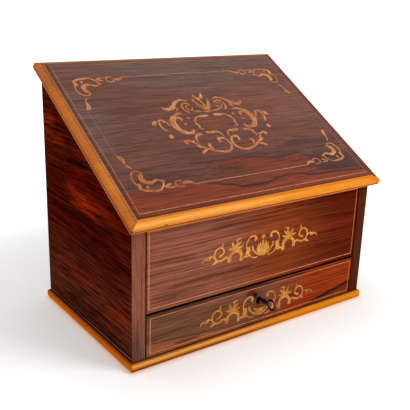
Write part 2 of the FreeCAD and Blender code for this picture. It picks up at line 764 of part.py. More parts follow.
def make_leaf(label, leaf, sign, count, first):
    """Hinge leaf in the lid's frame: a flat plate with knuckles along its outer edge."""
    low, high = ("-(hinge_face_gap + hinge_thickness)", "-hinge_face_gap")
    if leaf == "lid":
        low, high = ("hinge_face_gap", "hinge_face_gap + hinge_thickness")
    start = hinge_start(sign)
    plate = rectangle("leaf_start", "leaf_edge", low, high)
    owner = slab(label, "YZ_Plane", plate, start, "hinge_width", in_lid=True)
    begin = f"{start} + {first}"
    tab = sketch(owner, f"{label}_tab", "YZ_Plane", begin)
    add_outline(tab, rectangle("leaf_edge - hinge_thickness", "hinge_u", low, high))
    tab_pad = extrude(owner, "Pad", f"{label}_tab_pad", tab, "knuckle - hinge_gap")
    eye = sketch(owner, f"{label}_eye", "YZ_Plane", begin)
    add_circle(eye, "hinge_u", "0", "hinge_radius")
    eye_pad = extrude(owner, "Pad", f"{label}_eye_pad", eye, "knuckle - hinge_gap")
    row = owner.newObject("PartDesign::LinearPattern", f"{label}_knuckles")
    row.Originals = [tab_pad, eye_pad]
    axis = next(item for item in owner.Origin.OriginFeatures if item.Role == "X_Axis")
    row.Direction = (axis, [""])
    row.Occurrences = count
    bind(row, "Length", f"{count - 1} * 2 * (knuckle)")
    owner.Tip = row
    bore = [("hinge_u", "0", "hinge_pin_radius + hinge_play")]
    pocket(owner, f"{label}_bore", "YZ_Plane", f"{start} - over", "hinge_width + 2 * over", circles=bore)
    return owner


# Fall front


def plate_outline():
    """Pivot plate seen from the side, with an arched top."""
    high_y = "plate_low_y + plate_width"
    high_z = "plate_low_z + plate_height - plate_arch"
    return [
        ("plate_low_y", "plate_low_z"),
        (high_y, "plate_low_z"),
        (high_y, high_z),
        ("plate_low_y", high_z, "plate_arc", 1),
    ]


def plate_screws(face, way):
    places = []
    for step in (0, 1):
        rise = f"pivot_z + plate_screw_rise + {step} * plate_screw_spacing"
        places.append(((face, "plate_middle_y", rise), way))
    return places


def case_plate_screws(sign):
    return plate_screws(f"{sign} * (inner_side)", "right" if sign > 0 else "left")


def fall_plate_screws(sign):
    return plate_screws(f"{sign} * (front_end)", "left" if sign > 0 else "right")


def make_fall():
    outline = rectangle("front", "front_inside", "fall_low", "fall_top")
    panel = slab("fall_panel_plain", "YZ_Plane", outline, "-(front_end)", "2 * (front_end)")
    lining = rectangle(
        "-(front_end - lining_margin)",
        "front_end - lining_margin",
        "fall_low + lining_margin",
        "fall_top - lining_margin",
    )
    pocket(panel, "lining_recess", "XZ_Plane", "-(front_inside)", "lining_thickness", [lining])
    tools = []
    for hand, sign in (("left", -1), ("right", 1)):
        start = mirrored(sign, "front_end - plate_thickness", "front_end")[0]
        name = f"fall_plate_recess_{hand}"
        pocket(panel, name, "YZ_Plane", start, "plate_thickness", [plate_outline()])
        reach = "pivot_reach + pivot_bore_play"
        start = mirrored(sign, f"inner_side - ({reach})", "inner_side")[0]
        bore = [("pivot_y", "pivot_z", "pivot_radius + pivot_bore_play")]
        pocket(panel, f"pivot_bore_{hand}", "YZ_Plane", start, reach, circles=bore)
        tools += holes_for(f"fall_panel_{hand}", fall_plate_screws(sign))
    keep(cut("fall_panel", panel, tools))
    offset = "-(front_inside)"
    keep(slab("fall_leather_lining", "XZ_Plane", lining, offset, "lining_thickness"))


def make_pivots():
    for hand, sign in (("left", -1), ("right", 1)):
        start = mirrored(sign, "inner_side", "inner_side + plate_thickness")[0]
        plate = slab(f"pivot_plate_{hand}", "YZ_Plane", plate_outline(), start, "plate_thickness")
        start = mirrored(sign, "inner_side - pivot_reach", "inner_side")[0]
        pin = sketch(plate, f"pivot_pin_{hand}", "YZ_Plane", start)
        add_circle(pin, "pivot_y", "pivot_z", "pivot_radius")
        extrude(plate, "Pad", f"pivot_pin_{hand}_pad", pin, "pivot_reach")
        holes = holes_for(f"fall_pivot_{hand}", case_plate_screws(sign))
        keep(cut(f"fall_pivot_pin_plate_{hand}", plate, holes))

        start = mirrored(sign, "front_end - plate_thickness", "front_end")[0]
        eye = slab(f"eye_plate_{hand}", "YZ_Plane", plate_outline(), start, "plate_thickness")
        bore = [("pivot_y", "pivot_z", "pivot_radius + pivot_play")]
        pocket(eye, f"eye_bore_{hand}", "YZ_Plane", start, "plate_thickness", circles=bore)
        holes = holes_for(f"fall_eye_{hand}", fall_plate_screws(sign))
        keep(cut(f"fall_pivot_eye_plate_{hand}", eye, holes))
    screw_group("pivot_screws_case", case_plate_screws(-1) + case_plate_screws(1))
    screw_group("pivot_screws_fall", fall_plate_screws(-1) + fall_plate_screws(1))


# Drawer


def tail_corners():
    """Dovetails from the bottom up: each as near-low, far-low, far-high and near-high corners."""
    count = int(number("tail_count"))
    far = "front_inside - tail_length"
    tails = []
    for index in range(count):
        middle = f"(drawer_low + wall_height * ({index} + 0.5) / tail_count)"
        wide, narrow = "tail_width / 2", "(tail_width / 2 - tail_splay)"
        tails.append(
            [
                ("front_inside", f"{middle} - {narrow}"),
                (far, f"{middle} - {wide}"),
                (far, f"{middle} + {wide}"),
                ("front_inside", f"{middle} + {narrow}"),
            ]
        )
    return tails


def make_drawer_front():
    outline = rectangle("front", "front_inside", "drawer_low", "drawer_top")
    board = slab("drawer_front_plain", "YZ_Plane", outline, "-(front_end)", "2 * (front_end)")
    for hand, sign in (("left", -1), ("right", 1)):
        start = mirrored(sign, "drawer_inner", "front_end + over")[0]
        length = "front_end + over - (drawer_inner)"
        pocket(board, f"tail_sockets_{hand}", "YZ_Plane", start, length, tail_corners())
    deep = "-(front_inside + over)"
    hole = [("0", "lock_axis", "keyhole_radius")]
    pocket(board, "keyhole_round", "XZ_Plane", deep, "front_thickness + 2 * over", circles=hole)
    half = "keyhole_slot / 2"
    slot = rectangle(f"-{half}", half, "lock_axis - keyhole_drop", "lock_axis")
    pocket(board, "keyhole_slot_cut", "XZ_Plane", deep, "front_thickness + 2 * over", [slot])
    keep(cut("drawer_front", board, holes_for("drawer_front", lock_screws())))


def make_drawer_sides():
    low, high = "drawer_low", "drawer_low + wall_height"
    for hand, sign in (("left", -1), ("right", 1)):
        corners = [("drawer_back", low), ("drawer_back", high), ("front_inside", high)]
        for tail in reversed(tail_corners()):
            corners += reversed(tail)
        corners.append(("front_inside", low))
        start = mirrored(sign, "drawer_inner", "drawer_outer")[0]
        wall = slab(f"drawer_side_{hand}", "YZ_Plane", corners, start, "wall_thickness")
        start = mirrored(sign, "drawer_inner", "drawer_inner + drawer_groove")[0]
        groove = rectangle("front_inside", "drawer_back + over", "drawer_floor_low", "drawer_floor")
        pocket(wall, f"bottom_groove_{hand}", "YZ_Plane", start, "drawer_groove", [groove])
        keep(wall)


def make_drawer_inside():
    half = "(drawer_inner)"
    deep = ("drawer_back - wall_thickness", "drawer_back")
    high = ("drawer_floor", "drawer_low + wall_height")
    keep(block("drawer_back", (f"-{half}", half), deep, high))
    half = "(drawer_inner + drawer_groove)"
    deep = ("front_inside", "drawer_back")
    high = ("drawer_floor_low", "drawer_floor")
    keep(block("drawer_bottom", (f"-{half}", half), deep, high))


# Lock and key


def lock_screws():
    places = []
    for sign in (-1, 1):
        for rise in ("lock_axis - lock_screw_low", "lock_axis + lock_screw_high"):
            start = (f"{sign} * lock_screw_place", "lock_plate_back", rise)
            places.append((start, "forward"))
    return places


def make_lock():
    half = "(lock_width / 2)"
    deep = ("front_inside", "lock_plate_back")
    plain = block("lock_plate_plain", (f"-{half}", half), deep, ("lock_low_z", "lock_top"))
    start = ("0", "front_inside - over", "lock_axis")
    eye = rod("lock_plate_eye", "backward", start, "2 * over + lock_plate_thickness", "key_bearing")
    half = "(key_bit_width / 2 + bolt_play)"
    deep = ("front_inside - over", "lock_plate_back + over")
    high = ("lock_axis - key_bit_drop - bolt_play", "lock_axis")
    slot = block("lock_plate_slot", (f"-{half}", half), deep, high)
    keep(cut("lock_plate", plain, [eye, slot] + holes_for("lock_plate", lock_screws())))

    half = "(lock_case_width / 2)"
    deep = ("lock_plate_back", "lock_case_back")
    low = "lock_axis - key_bit_drop - key_bit_room - lock_case_wall"
    shell = block("lock_case_plain", (f"-{half}", half), deep, (low, "lock_top"))
    half = "(lock_case_width / 2 - lock_case_wall)"
    deep = ("lock_plate_back - over", "lock_case_back - lock_case_wall")
    high = (f"{low} + lock_case_wall", "lock_top - lock_case_wall")
    room = block("lock_case_room", (f"-{half}", half), deep, high)
    half = "(bolt_width / 2 + bolt_play)"
    deep = ("bolt_front - bolt_play", "bolt_front + bolt_thickness + bolt_play")
    slot = block("lock_case_slot", (f"-{half}", half), deep, ("lock_axis", "lock_top + over"))
    start = ("0", "lock_case_back - over", "lock_axis")
    eye = rod("lock_case_eye", "backward", start, "2 * over", "key_bearing")
    keep(cut("lock_case", shell, [room, slot, eye]))

    half = "(bolt_width / 2)"
    deep = ("bolt_front", "bolt_front + bolt_thickness")
    keep(block("lock_bolt", (f"-{half}", half), deep, ("bolt_low", "bolt_top")))
    screw_group("lock_screws", lock_screws())


def key_bow_corners():
    """Eight-sided section of the key's bow: its thickness runs across the ring."""
    flat = "(key_bow_half - key_bow_chamfer)"
    corners = []
    for across, up in (("1", "1"), ("-1", "1"), ("-1", "-1"), ("1", "-1")):
        wide = (f"{across} * key_bow_half", f"key_bow_radius + {up} * {flat}")
        high = (f"{across} * {flat}", f"key_bow_radius + {up} * key_bow_half")
        corners += [wide, high] if across == up else [high, wide]
    return corners


def make_key():
    bow_y = "front - key_bow_stand"
    bow = body("key_bow")
    bind(bow, "Placement.Base.y", bow_y)
    bind(bow, "Placement.Base.z", "lock_axis")
    section = sketch(bow, "key_bow_section", "XY_Plane")
    add_outline(section, key_bow_corners())
    ring = bow.newObject("PartDesign::Revolution", "key_bow_ring")
    ring.Profile = section
    axis = next(item for item in bow.Origin.OriginFeatures if item.Role == "X_Axis")
    ring.ReferenceAxis = (axis, [""])
    start = ("0", f"{bow_y} + key_bow_radius", "lock_axis")
    length = "lock_case_back - (front) + key_bow_stand - key_bow_radius"
    shank = rod("key_shank", "backward", start, length, "key_radius")
    start = ("0", "front - key_collar_stand - key_collar_length", "lock_axis")
    collar = rod("key_collar", "backward", start, "key_collar_length", "key_collar_radius")
    half = "key_bit_width / 2"
    deep = ("lock_plate_back + key_bit_setback", "lock_plate_back + key_bit_setback + key_bit_length")
    bit = block("key_bit", (f"-{half}", half), deep, ("lock_axis - key_bit_drop", "lock_axis"))
    keep(fuse("key", [bow, shank, collar, bit]))


make_base()
make_sides()
make_back()
make_dust_board()
make_rack()
make_lid_board()
make_lid_mouldings()
make_lid_rail()
make_hinges()
make_fall()
make_pivots()
make_drawer_front()
make_drawer_sides()
make_drawer_inside()
make_lock()
make_key()
doc.recompute()

for item in doc.Objects:
    if {"Invalid", "Error"} & set(item.State):
        raise RuntimeError(f"{item.Label} failed: {item.State}")

os.makedirs("parts", exist_ok=True)
for piece in pieces:
    if piece.Shape.isNull() or not piece.Shape.isValid():
        raise RuntimeError(f"{piece.Label} has no valid shape")
    piece.Shape.exportStep(f"parts/{piece.Label}.step")
print(f"{len(pieces)} sub-parts written")
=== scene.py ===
import math
from functools import partial

import bpy
import numpy as np
from mathutils import Matrix, Vector


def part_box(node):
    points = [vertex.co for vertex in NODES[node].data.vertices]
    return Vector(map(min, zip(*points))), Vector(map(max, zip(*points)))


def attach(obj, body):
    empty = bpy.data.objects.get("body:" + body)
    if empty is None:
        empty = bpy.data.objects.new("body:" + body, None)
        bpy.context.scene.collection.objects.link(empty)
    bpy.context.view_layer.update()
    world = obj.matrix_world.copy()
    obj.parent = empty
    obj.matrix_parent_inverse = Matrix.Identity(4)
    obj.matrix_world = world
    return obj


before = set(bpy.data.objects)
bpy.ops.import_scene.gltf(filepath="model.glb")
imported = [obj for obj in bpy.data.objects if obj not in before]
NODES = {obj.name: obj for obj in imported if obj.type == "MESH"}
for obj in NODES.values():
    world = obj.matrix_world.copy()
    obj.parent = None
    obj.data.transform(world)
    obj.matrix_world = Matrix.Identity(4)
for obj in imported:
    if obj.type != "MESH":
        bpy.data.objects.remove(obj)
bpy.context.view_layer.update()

# Slant-top writing slope: rosewood veneer, golden mouldings, boxwood marquetry and stringing.
# Lengths in the pattern tables are millimetres; everything put into a mesh is metres.

MM = 0.001

# Driving sizes of the lid, which lies on a slope
LID_SLOPE = math.radians(30.4)
LID_THICKNESS = 9.1 * MM
FRONT_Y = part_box("drawer_front")[0].y
LID_FOOT_Z = 173.7 * MM
FRONT_HALF_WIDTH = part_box("drawer_front")[1].x
DRAWER_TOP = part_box("drawer_front")[1].z
FALL_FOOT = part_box("fall_panel")[0].z
STILE_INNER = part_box("front_stile_right")[0].x

# Inlay
INLAY_PROUD = 0.03 * MM
INLAY_STEP = 0.004 * MM  # neighbouring pieces lie at slightly different levels
INLAY_LEVELS = 17
INLAY_DEPTH = 0.5 * MM
STRING_WIDTH = 1.0


def lid_place(across, up, out):
    """A point given on the lid's slope (across, up the slope, out of it) as a place in the row frame."""
    y = FRONT_Y + up * math.cos(LID_SLOPE) - out * math.sin(LID_SLOPE)
    z = LID_FOOT_Z + up * math.sin(LID_SLOPE) + out * math.cos(LID_SLOPE)
    return np.stack([across, y, z], axis=-1)


def front_place(across, up, out):
    """A point given on the front face (across, up, out of it) as a place in the row frame."""
    return np.stack([across, FRONT_Y - out, up], axis=-1)


def on_lid_top(across, up, out):
    return lid_place(across, up, LID_THICKNESS + out)


# Mesh helpers


def make_piece(name, points, faces, body, materials, uv=None, tone=None, smooth=False):
    """Puts computed points and faces into a mesh that rides on a body."""
    mesh = bpy.data.meshes.new(name)
    mesh.from_pydata(points.tolist(), [], faces.tolist())
    if uv is not None:
        layer = mesh.uv_layers.new(name="run")
        corners = np.empty(len(mesh.loops), dtype=np.int32)
        mesh.loops.foreach_get("vertex_index", corners)
        layer.data.foreach_set("uv", uv[corners].astype(np.float32).ravel())
    if tone is not None:
        attribute = mesh.attributes.new("tone", "FLOAT", "POINT")
        attribute.data.foreach_set("value", tone.astype(np.float32))
    mesh.validate()
    mesh.polygons.foreach_set("use_smooth", np.full(len(mesh.polygons), smooth))
    for material in materials:
        mesh.materials.append(material)
    piece = bpy.data.objects.new(name, mesh)
    bpy.context.scene.collection.objects.link(piece)
    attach(piece, body)
    return piece


def curve_through(points, steps):
    """Smooth line through points (a Catmull-Rom curve): each span is a cubic whose slope at a point
    is half the step from the point before to the point after."""
    p = np.asarray(points, float)
    if len(p) == 2:
        t = np.linspace(0, 1, steps)[:, None]
        return p[0] * (1 - t) + p[1] * t
    ends = np.vstack([2 * p[0] - p[1], p, 2 * p[-1] - p[-2]])
    t = np.linspace(0, len(p) - 1, steps)
    span = np.minimum(t.astype(int), len(p) - 2)
    f = (t - span)[:, None]
    a, b, c, d = (ends[span + k] for k in range(4))
    return 0.5 * (2 * b + (c - a) * f + (2 * a - 5 * b + 4 * c - d) * f**2 + (3 * b - a - 3 * c + d) * f**3)


def widths_along(kind, width, steps):
    """Width of a stroke along its run, from 0 at its start to 1 at its end."""
    t = np.linspace(0, 1, steps)
    rounded_end = np.sqrt(np.clip(1 - ((t - 0.9) / 0.1).clip(0) ** 2, 0, 1))
    if kind == "leaf":  # swells from a point and runs out to a point
        return width * np.sin(math.pi * t**0.8) ** 0.7 + 0.12
    if kind == "acanthus":  # full body with lobes along it, running out to a thin tip
        body = np.minimum(1, np.sqrt(t * 9)) * (1 - 0.72 * np.clip((t - 0.35) / 0.65, 0, 1))
        return width * body * (1 + 0.16 * np.sin(t * 26)) * rounded_end + 0.12
    if kind == "tail":  # thick rounded start that thins towards its end
        return width * (1 - 0.8 * t) * np.minimum(1, np.sqrt(t * 12)) + 0.12
    if kind == "curl":  # thin start that swells to a rounded end
        return width * (0.32 + 0.68 * t**1.4) * rounded_end + 0.12
    if kind == "drop":  # round blob
        return 2 * width * np.sqrt(np.clip(t * (1 - t), 0.0004, 1))
    return np.full(steps, width)  # line


def stroke(points, width, kind, proud, steps=28):
    """Flat inlaid stroke: a strip carried along a smooth line, with its width changing along the run.
    Each cross-section has four corners, two a little proud of the surface and two below it."""
    line = curve_through(points, steps)
    run = np.gradient(line, axis=0)
    run /= np.maximum(np.linalg.norm(run, axis=1, keepdims=True), 1e-9)
    side = np.stack([-run[:, 1], run[:, 0]], axis=1)
    half = widths_along(kind, width, steps)[:, None] / 2
    left, right = line + side * half, line - side * half
    flat = np.stack([left, left, right, right], axis=1) * MM
    depth = np.array([-INLAY_DEPTH, proud, proud, -INLAY_DEPTH])
    depth = np.broadcast_to(depth, (steps, 4))
    length = np.concatenate([[0], np.cumsum(np.linalg.norm(np.diff(line, axis=0), axis=1))])
    across = np.array([0.0, 0.0, 1.0, 1.0])
    uv = np.stack(np.broadcast_arrays(length[:, None] * MM, across), axis=-1)
    ring = np.arange(4)
    rows = np.arange(steps - 1)[:, None] * 4
    a, b = rows + ring, rows + (ring + 1) % 4
    sides = np.stack([a, a + 4, b + 4, b], axis=-1).reshape(-1, 4)
    caps = np.array([[0, 1, 2, 3], [4 * steps - 1, 4 * steps - 2, 4 * steps - 3, 4 * steps - 4]])
    return flat.reshape(-1, 2), depth.reshape(-1), np.vstack([sides, caps]), uv.reshape(-1, 2)


def inlay(name, strokes, place, body, material, shades=None):
    """One piece made of many strokes, laid on a panel by its place function. Each stroke is one shade of the wood,
    from 0 (its pale colour) to 1 (its tan one), picked at random where shades doesn't give it."""
    rng = np.random.default_rng(7)
    flats, depths, faces, uvs, tones, first = [], [], [], [], [], 0
    for index, (points, width, kind) in enumerate(strokes):
        proud = INLAY_PROUD + INLAY_STEP * (index % INLAY_LEVELS)
        flat, depth, face, uv = stroke(points, width, kind, proud, 4 if kind == "straight" else 28)
        flats.append(flat)
        depths.append(depth)
        faces.append(face + first)
        uvs.append(uv)
        tones.append(np.full(len(flat), shades[index] if shades else rng.random()))
        first += len(flat)
    flat, depth = np.vstack(flats), np.concatenate(depths)
    points = place(flat[:, 0], flat[:, 1], depth)
    return make_piece(
        name, points, np.vstack(faces), body, [material], np.vstack(uvs), np.concatenate(tones)
    )


def moved(strokes, centre, flip_x=1, flip_y=1):
    """A pattern set at a centre, mirrored across and up where a flip is -1."""
    result = []
    for points, width, kind in strokes:
        placed = [(centre[0] + flip_x * x, centre[1] + flip_y * y) for x, y in points]
        result.append((placed, width, kind))
    return result


def both_halves(strokes, centre):
    return moved(strokes, centre) + moved(strokes, centre, flip_x=-1)


def ruled_line(start, end, width=STRING_WIDTH):
    return ([start, end], width, "straight")


def ruled_frame(left, right, low, high, width=STRING_WIDTH):
    """Stringing round a rectangle, its four lines overlapping by half their width at the corners."""
    reach = width / 2
    return [
        ruled_line((left - reach, low), (right + reach, low), width),
        ruled_line((left - reach, high), (right + reach, high), width),
        ruled_line((left, low + reach), (left, high - reach), width),
        ruled_line((right, low + reach), (right, high - reach), width),
    ]


# Marquetry patterns: each stroke is (points across and up from the pattern's centre, width, kind)

FALL_CENTREPIECE = [
    ([(0, -11), (0, -4), (0, 5.6)], 5.4, "leaf"),
    ([(0, 6.4), (0, 9.6), (0, 13)], 3.4, "leaf"),
    ([(-3.6, 9.4), (0, 9.5), (3.6, 9.4)], 2.6, "leaf"),
    ([(-6, -11.6), (0, -12.4), (6, -11.6)], 2.0, "leaf"),
]
FALL_PALMETTE = [
    ([(1.4, -10.6), (4.2, -4), (4.6, 3.6)], 4.2, "leaf"),
    ([(2, -10.6), (6.6, -5), (7.8, 1.2)], 3.6, "leaf"),
    ([(2, -11), (7.6, -8), (9.4, -3)], 2.8, "leaf"),
]
# on the drawer the keyhole takes the palmette's place, over its lowest leaves
DRAWER_CENTREPIECE = [
    ([(-9, -4), (-5, -6.6), (2, -7)], 2.8, "leaf"),
    ([(0, -6.6), (5, -7.8), (10, -5)], 3.2, "leaf"),
    ([(-9, -10), (0, -11.8), (9, -10.6)], 3.0, "leaf"),
    ([(-4, -9.2), (1, -9.4), (6, -9)], 2.4, "leaf"),
]
FRONT_HALF = [
    ([(15.6, 0), (14.2, -5.4), (10.2, -10.4), (5, -13), (-0.4, -13.8)], 3.2, "curl"),
    ([(12.4, -7.4), (15.6, -4.6), (17.4, 1.6)], 2.3, "leaf"),
    ([(21.4, -8), (18.6, -12.6), (14, -15.2), (8, -15.6)], 1.3, "line"),
    ([(24.4, -5), (25.8, 2), (24, 8.2), (19.6, 12.2), (14.6, 12.4), (11.6, 9.6), (13.4, 6.0)], 3.9, "curl"),
    ([(21.6, 0.4), (20.4, -4), (22, -9)], 1.6, "leaf"),
    ([(25, -12.4), (23.4, -6), (23.8, 1)], 5.5, "leaf"),
    ([(19.6, -9.6), (24, -10.4), (31, -11)], 4.6, "leaf"),
    ([(32.8, -15.4), (32.8, -8.8)], 5.6, "drop"),
    ([(33.4, -11.4), (33.2, -6), (37, -2.2), (42.6, -0.8), (47.4, -3), (50, -6.6), (50.6, -11)], 4.0, "line"),
    ([(50.6, -14), (50.6, -8.4)], 5.6, "drop"),
    ([(42.6, 0), (42.6, 6.6)], 6.7, "drop"),
    ([(42, 2), (47, 2.6), (53.6, 3.6)], 3.7, "leaf"),
    ([(43, 3), (46, 7), (47.8, 11.6)], 3.5, "leaf"),
    ([(42, 3), (39.6, 8), (40.2, 12.4)], 3.0, "leaf"),
    ([(42, 3), (37, 6.8), (33.4, 10.4)], 2.8, "leaf"),
    ([(43, 1.6), (36.6, 2), (30.2, 4)], 3.3, "leaf"),
    ([(42, 0), (36, -1.2), (31.6, -3.2)], 2.3, "leaf"),
    ([(42, 12), (38, 13.2), (33.4, 13.8)], 1.8, "leaf"),
    ([(51.6, -9), (55, -6.2), (58.6, -7)], 2.5, "leaf"),
    (
        [
            (64.8, -2.6), (60.4, -1.2), (59, 2.6), (61.4, 6.4), (66.2, 7.6), (70.8, 5.4),
            (73, 0.2), (72, -4.8), (68, -8.2), (62.8, -9), (58, -7), (54.4, -5.8),
        ],
        2.2,
        "line",
    ),
    ([(66.6, -2.4), (63.4, -2.6), (60.6, 0)], 2.8, "leaf"),
    ([(63, 6.4), (61.4, 9.4), (61.4, 13.4)], 2.2, "leaf"),
    ([(67, -7.6), (71, -8.8), (76, -11.6)], 3.7, "leaf"),
    ([(72.6, -3), (77.6, -1), (80.6, -4.2), (85.8, -2.4), (88.6, -3.6), (89.6, -6.4)], 1.8, "line"),
    ([(77, 0.4), (80.6, -1.6), (84.4, -1)], 1.8, "leaf"),
]

LID_MIDDLE = [
    ([(1, 22), (8, 30.6), (13.7, 45)], 5.4, "leaf"),
    ([(0, 22.4), (-5.6, 33), (-10.6, 45.6)], 4.7, "leaf"),
    ([(1, 24), (1.6, 34), (0, 44)], 3.9, "leaf"),
    ([(-0.6, 42), (-0.6, 49)], 5.4, "drop"),
    ([(-11, 40.6), (-9, 46)], 3.9, "drop"),
    ([(-1, 46), (-4.6, 50), (-3.6, 56)], 3.7, "leaf"),
    ([(3, 45), (7, 50), (9.4, 57.6)], 4.2, "leaf"),
    ([(-8, 20.8), (0, 19.6), (9, 20.8)], 2.7, "leaf"),
]
LID_HALF = [
    ([(60.6, 31), (53, 30), (46, 33.6), (40.4, 40), (33, 44.6), (26, 45.6), (19.6, 42)], 5.9, "acanthus"),
    ([(62.4, 36), (60.4, 31.6), (55, 29.4)], 3.7, "leaf"),
    ([(44, 33), (42.6, 29), (45.6, 24.6)], 3.0, "leaf"),
    ([(19.6, 35.6), (23.6, 39), (29.6, 38.4), (33, 32), (32, 25), (27.6, 21)], 2.4, "line"),
    ([(20.4, 33), (25, 34.6), (28, 30), (25, 25.6), (18, 22.4), (9, 20.8)], 2.5, "curl"),
    ([(18, 30), (21, 26.6), (21.6, 22.6)], 2.5, "leaf"),
    ([(39.4, 19.6), (45, 21), (51.6, 18.4), (57, 12.6)], 3.7, "leaf"),
    (
        [(52, 18), (58.6, 10.6), (61.4, 0.6), (58.6, -9), (53, -14.4), (46.4, -16), (41, -13.6), (39.4, -9)],
        8.1,
        "acanthus",
    ),
    ([(61.6, 13), (64, 6), (63, -1)], 3.4, "leaf"),
    ([(52, 14.6), (47, 11), (46.6, 6.6)], 5.4, "leaf"),
    ([(36.4, 9.4), (34.4, 13)], 4.7, "drop"),
    ([(46.6, -0.4), (43.4, 2)], 3.9, "drop"),
    ([(72, 7), (73.6, 11.6), (79, 11.4), (80.6, 5), (80.4, -1), (77, -8.6)], 3.0, "line"),
    ([(88.4, 2.6), (87, 7.4), (82.6, 11)], 5.2, "leaf"),
    ([(70.4, 9.4), (69, 4), (67, 0)], 2.9, "leaf"),
    ([(76.2, -21.6), (76.2, -14.6)], 6.2, "drop"),
    ([(3.4, 12.6), (12, 12.4), (22.6, 12.2)], 4.7, "leaf"),
    ([(20.6, 13), (27, 7.4), (30.6, 0)], 3.4, "leaf"),
    ([(30.6, 1.6), (28.4, -4), (29.6, -10.6)], 3.5, "leaf"),
    ([(29.6, -10), (26.6, -11.4), (23.6, -9.6)], 2.4, "leaf"),
    ([(25.6, -17.4), (17, -18.6), (9.4, -18.6), (5, -22.6), (4.2, -29)], 4.4, "acanthus"),
    ([(32, -20), (38.4, -19.8), (43.8, -23.6), (46, -30), (44.4, -36)], 4.2, "acanthus"),
    ([(61.4, -34), (61.6, -26.6)], 6.4, "drop"),
    ([(62, -28), (57, -28.4), (51.6, -33), (47, -38.6)], 2.5, "line"),
    ([(52.4, -31.6), (50, -29)], 3.0, "drop"),
    (
        [
            (39, -45), (31, -50.4), (17.4, -54.2), (8, -52), (2.6, -45), (3, -36.4),
            (7, -30.6), (13, -30.4), (15.6, -34), (13.4, -37.4),
        ],
        3.1,
        "line",
    ),
    ([(8.6, -30), (14.4, -30.4), (14.4, -37.4)], 3.9, "leaf"),
    ([(52, -38.8), (45, -42), (38, -45.4)], 3.9, "leaf"),
    ([(50.4, -51.6), (45, -48.6), (38, -46)], 3.7, "leaf"),
    ([(49.4, -53.4), (47.6, -49)], 4.2, "drop"),
    ([(30.6, -36.4), (33.8, -41.6), (30.4, -48.4)], 4.4, "leaf"),
]

# Corner ornament: across and up the slope from the corner of the inner stringing
LID_CORNER = [
    ([(0.5, 58), (4.4, 52), (4.4, 43)], 5.0, "leaf"),
    ([(4.6, 43), (6.4, 39.6), (9.6, 35.6)], 2.2, "leaf"),
    ([(17.4, 26.6), (14, 31.2), (9, 31.6), (4.2, 28.2), (1.9, 21), (2.6, 14), (6.4, 7.4)], 1.8, "line"),
    ([(15.8, 27), (12.4, 20), (15, 13.8), (22.6, 12), (29.4, 14.8), (35, 12.6)], 5.9, "acanthus"),
    ([(35, 14), (35.4, 8), (31.6, 3), (26.4, -0.6), (19, -0.8)], 2.2, "line"),
    ([(6.8, 13.6), (5.2, 6), (8.4, 0.8)], 4.7, "leaf"),
    ([(5.4, 3.4), (14.4, 0.6), (28, -0.4)], 3.4, "leaf"),
    ([(14.4, 3.8), (14.6, 8.4)], 4.0, "drop"),
    ([(34, 13.6), (37.4, 11.6), (40, 12.4)], 2.7, "leaf"),
    ([(36, 1), (39.6, 4.6), (45, 5.6)], 3.2, "leaf"),
    ([(34, 4.4), (39, 1), (49, 0.6)], 2.2, "leaf"),
    ([(59.6, 7), (55.4, 8.8), (50.6, 7.6), (49, 2.4), (53.4, -0.8), (59, 0)], 1.6, "line"),
    ([(58, 3.4), (66, 4.6), (74, 0.4)], 4.3, "leaf"),
]

# Where the patterns and the stringing lie, millimetres across and up each panel
LID_STRING = (-171.5, 172.5, 4.5, 255.0)
LID_INNER_STRING = (-158.5, 161.5, 32.5, 228.0)
LID_CENTRE = (2.0, 129.0)
CORNER_REACH = (73.0, 57.5)
FALL_STRING = (-159.5, 159.5, 70.8, 162.0)
FALL_CENTRE = (0.6, 116.5)
DRAWER_STRING = (-157.5, 159.7, 15.6, 59.0)
DRAWER_CENTRE = (0.6, 36.5)


def make_marquetry(lid_wood, fall_wood, drawer_wood, lid_string, front_string):
    left, right, low, high = LID_INNER_STRING
    along, up = CORNER_REACH
    lines = ruled_frame(*LID_STRING)
    for u in (low, high):
        lines.append(ruled_line((left + along, u), (right - along, u)))
    for x in (left, right):
        lines.append(ruled_line((x, low + up), (x, high - up)))
    shades = [0.0, 0.9, 0.6, 0.9, 0.0, 0.4, 0.9, 1.0]  # outer frame, then inner: front, rear, left, right
    inlay("lid_stringing", lines, on_lid_top, "lid", lid_string, shades)
    strokes = moved(LID_MIDDLE, LID_CENTRE) + both_halves(LID_HALF, LID_CENTRE)
    for x, flip_x in ((left, 1), (right, -1)):
        for u, flip_y in ((low, 1), (high, -1)):
            strokes += moved(LID_CORNER, (x, u), flip_x, flip_y)
    inlay("lid_marquetry", strokes, on_lid_top, "lid", lid_wood)
    for body, string, centre, middle, palmette, front_wood in (
        ("fall", FALL_STRING, FALL_CENTRE, FALL_CENTREPIECE, FALL_PALMETTE, fall_wood),
        ("drawer", DRAWER_STRING, DRAWER_CENTRE, DRAWER_CENTREPIECE, [], drawer_wood),
    ):
        shades = [0.3, 0.7, 0.1, 0.9]  # low, high, left, right
        inlay(f"{body}_stringing", ruled_frame(*string), front_place, body, front_string, shades)
        strokes = moved(middle, centre) + both_halves(palmette + FRONT_HALF, centre)
        inlay(f"{body}_marquetry", strokes, front_place, body, front_wood)


# Node helpers


def add_node(tree, kind, inputs=(), **settings):
    """Adds a shader node, sets its options, and gives each named input a value or a link."""
    node = tree.nodes.new(f"ShaderNode{kind}")
    for option, value in settings.items():
        setattr(node, option, value)
    for key, value in dict(inputs).items():
        if isinstance(value, bpy.types.NodeSocket):
            tree.links.new(value, node.inputs[key])
        else:
            node.inputs[key].default_value = value
    return node


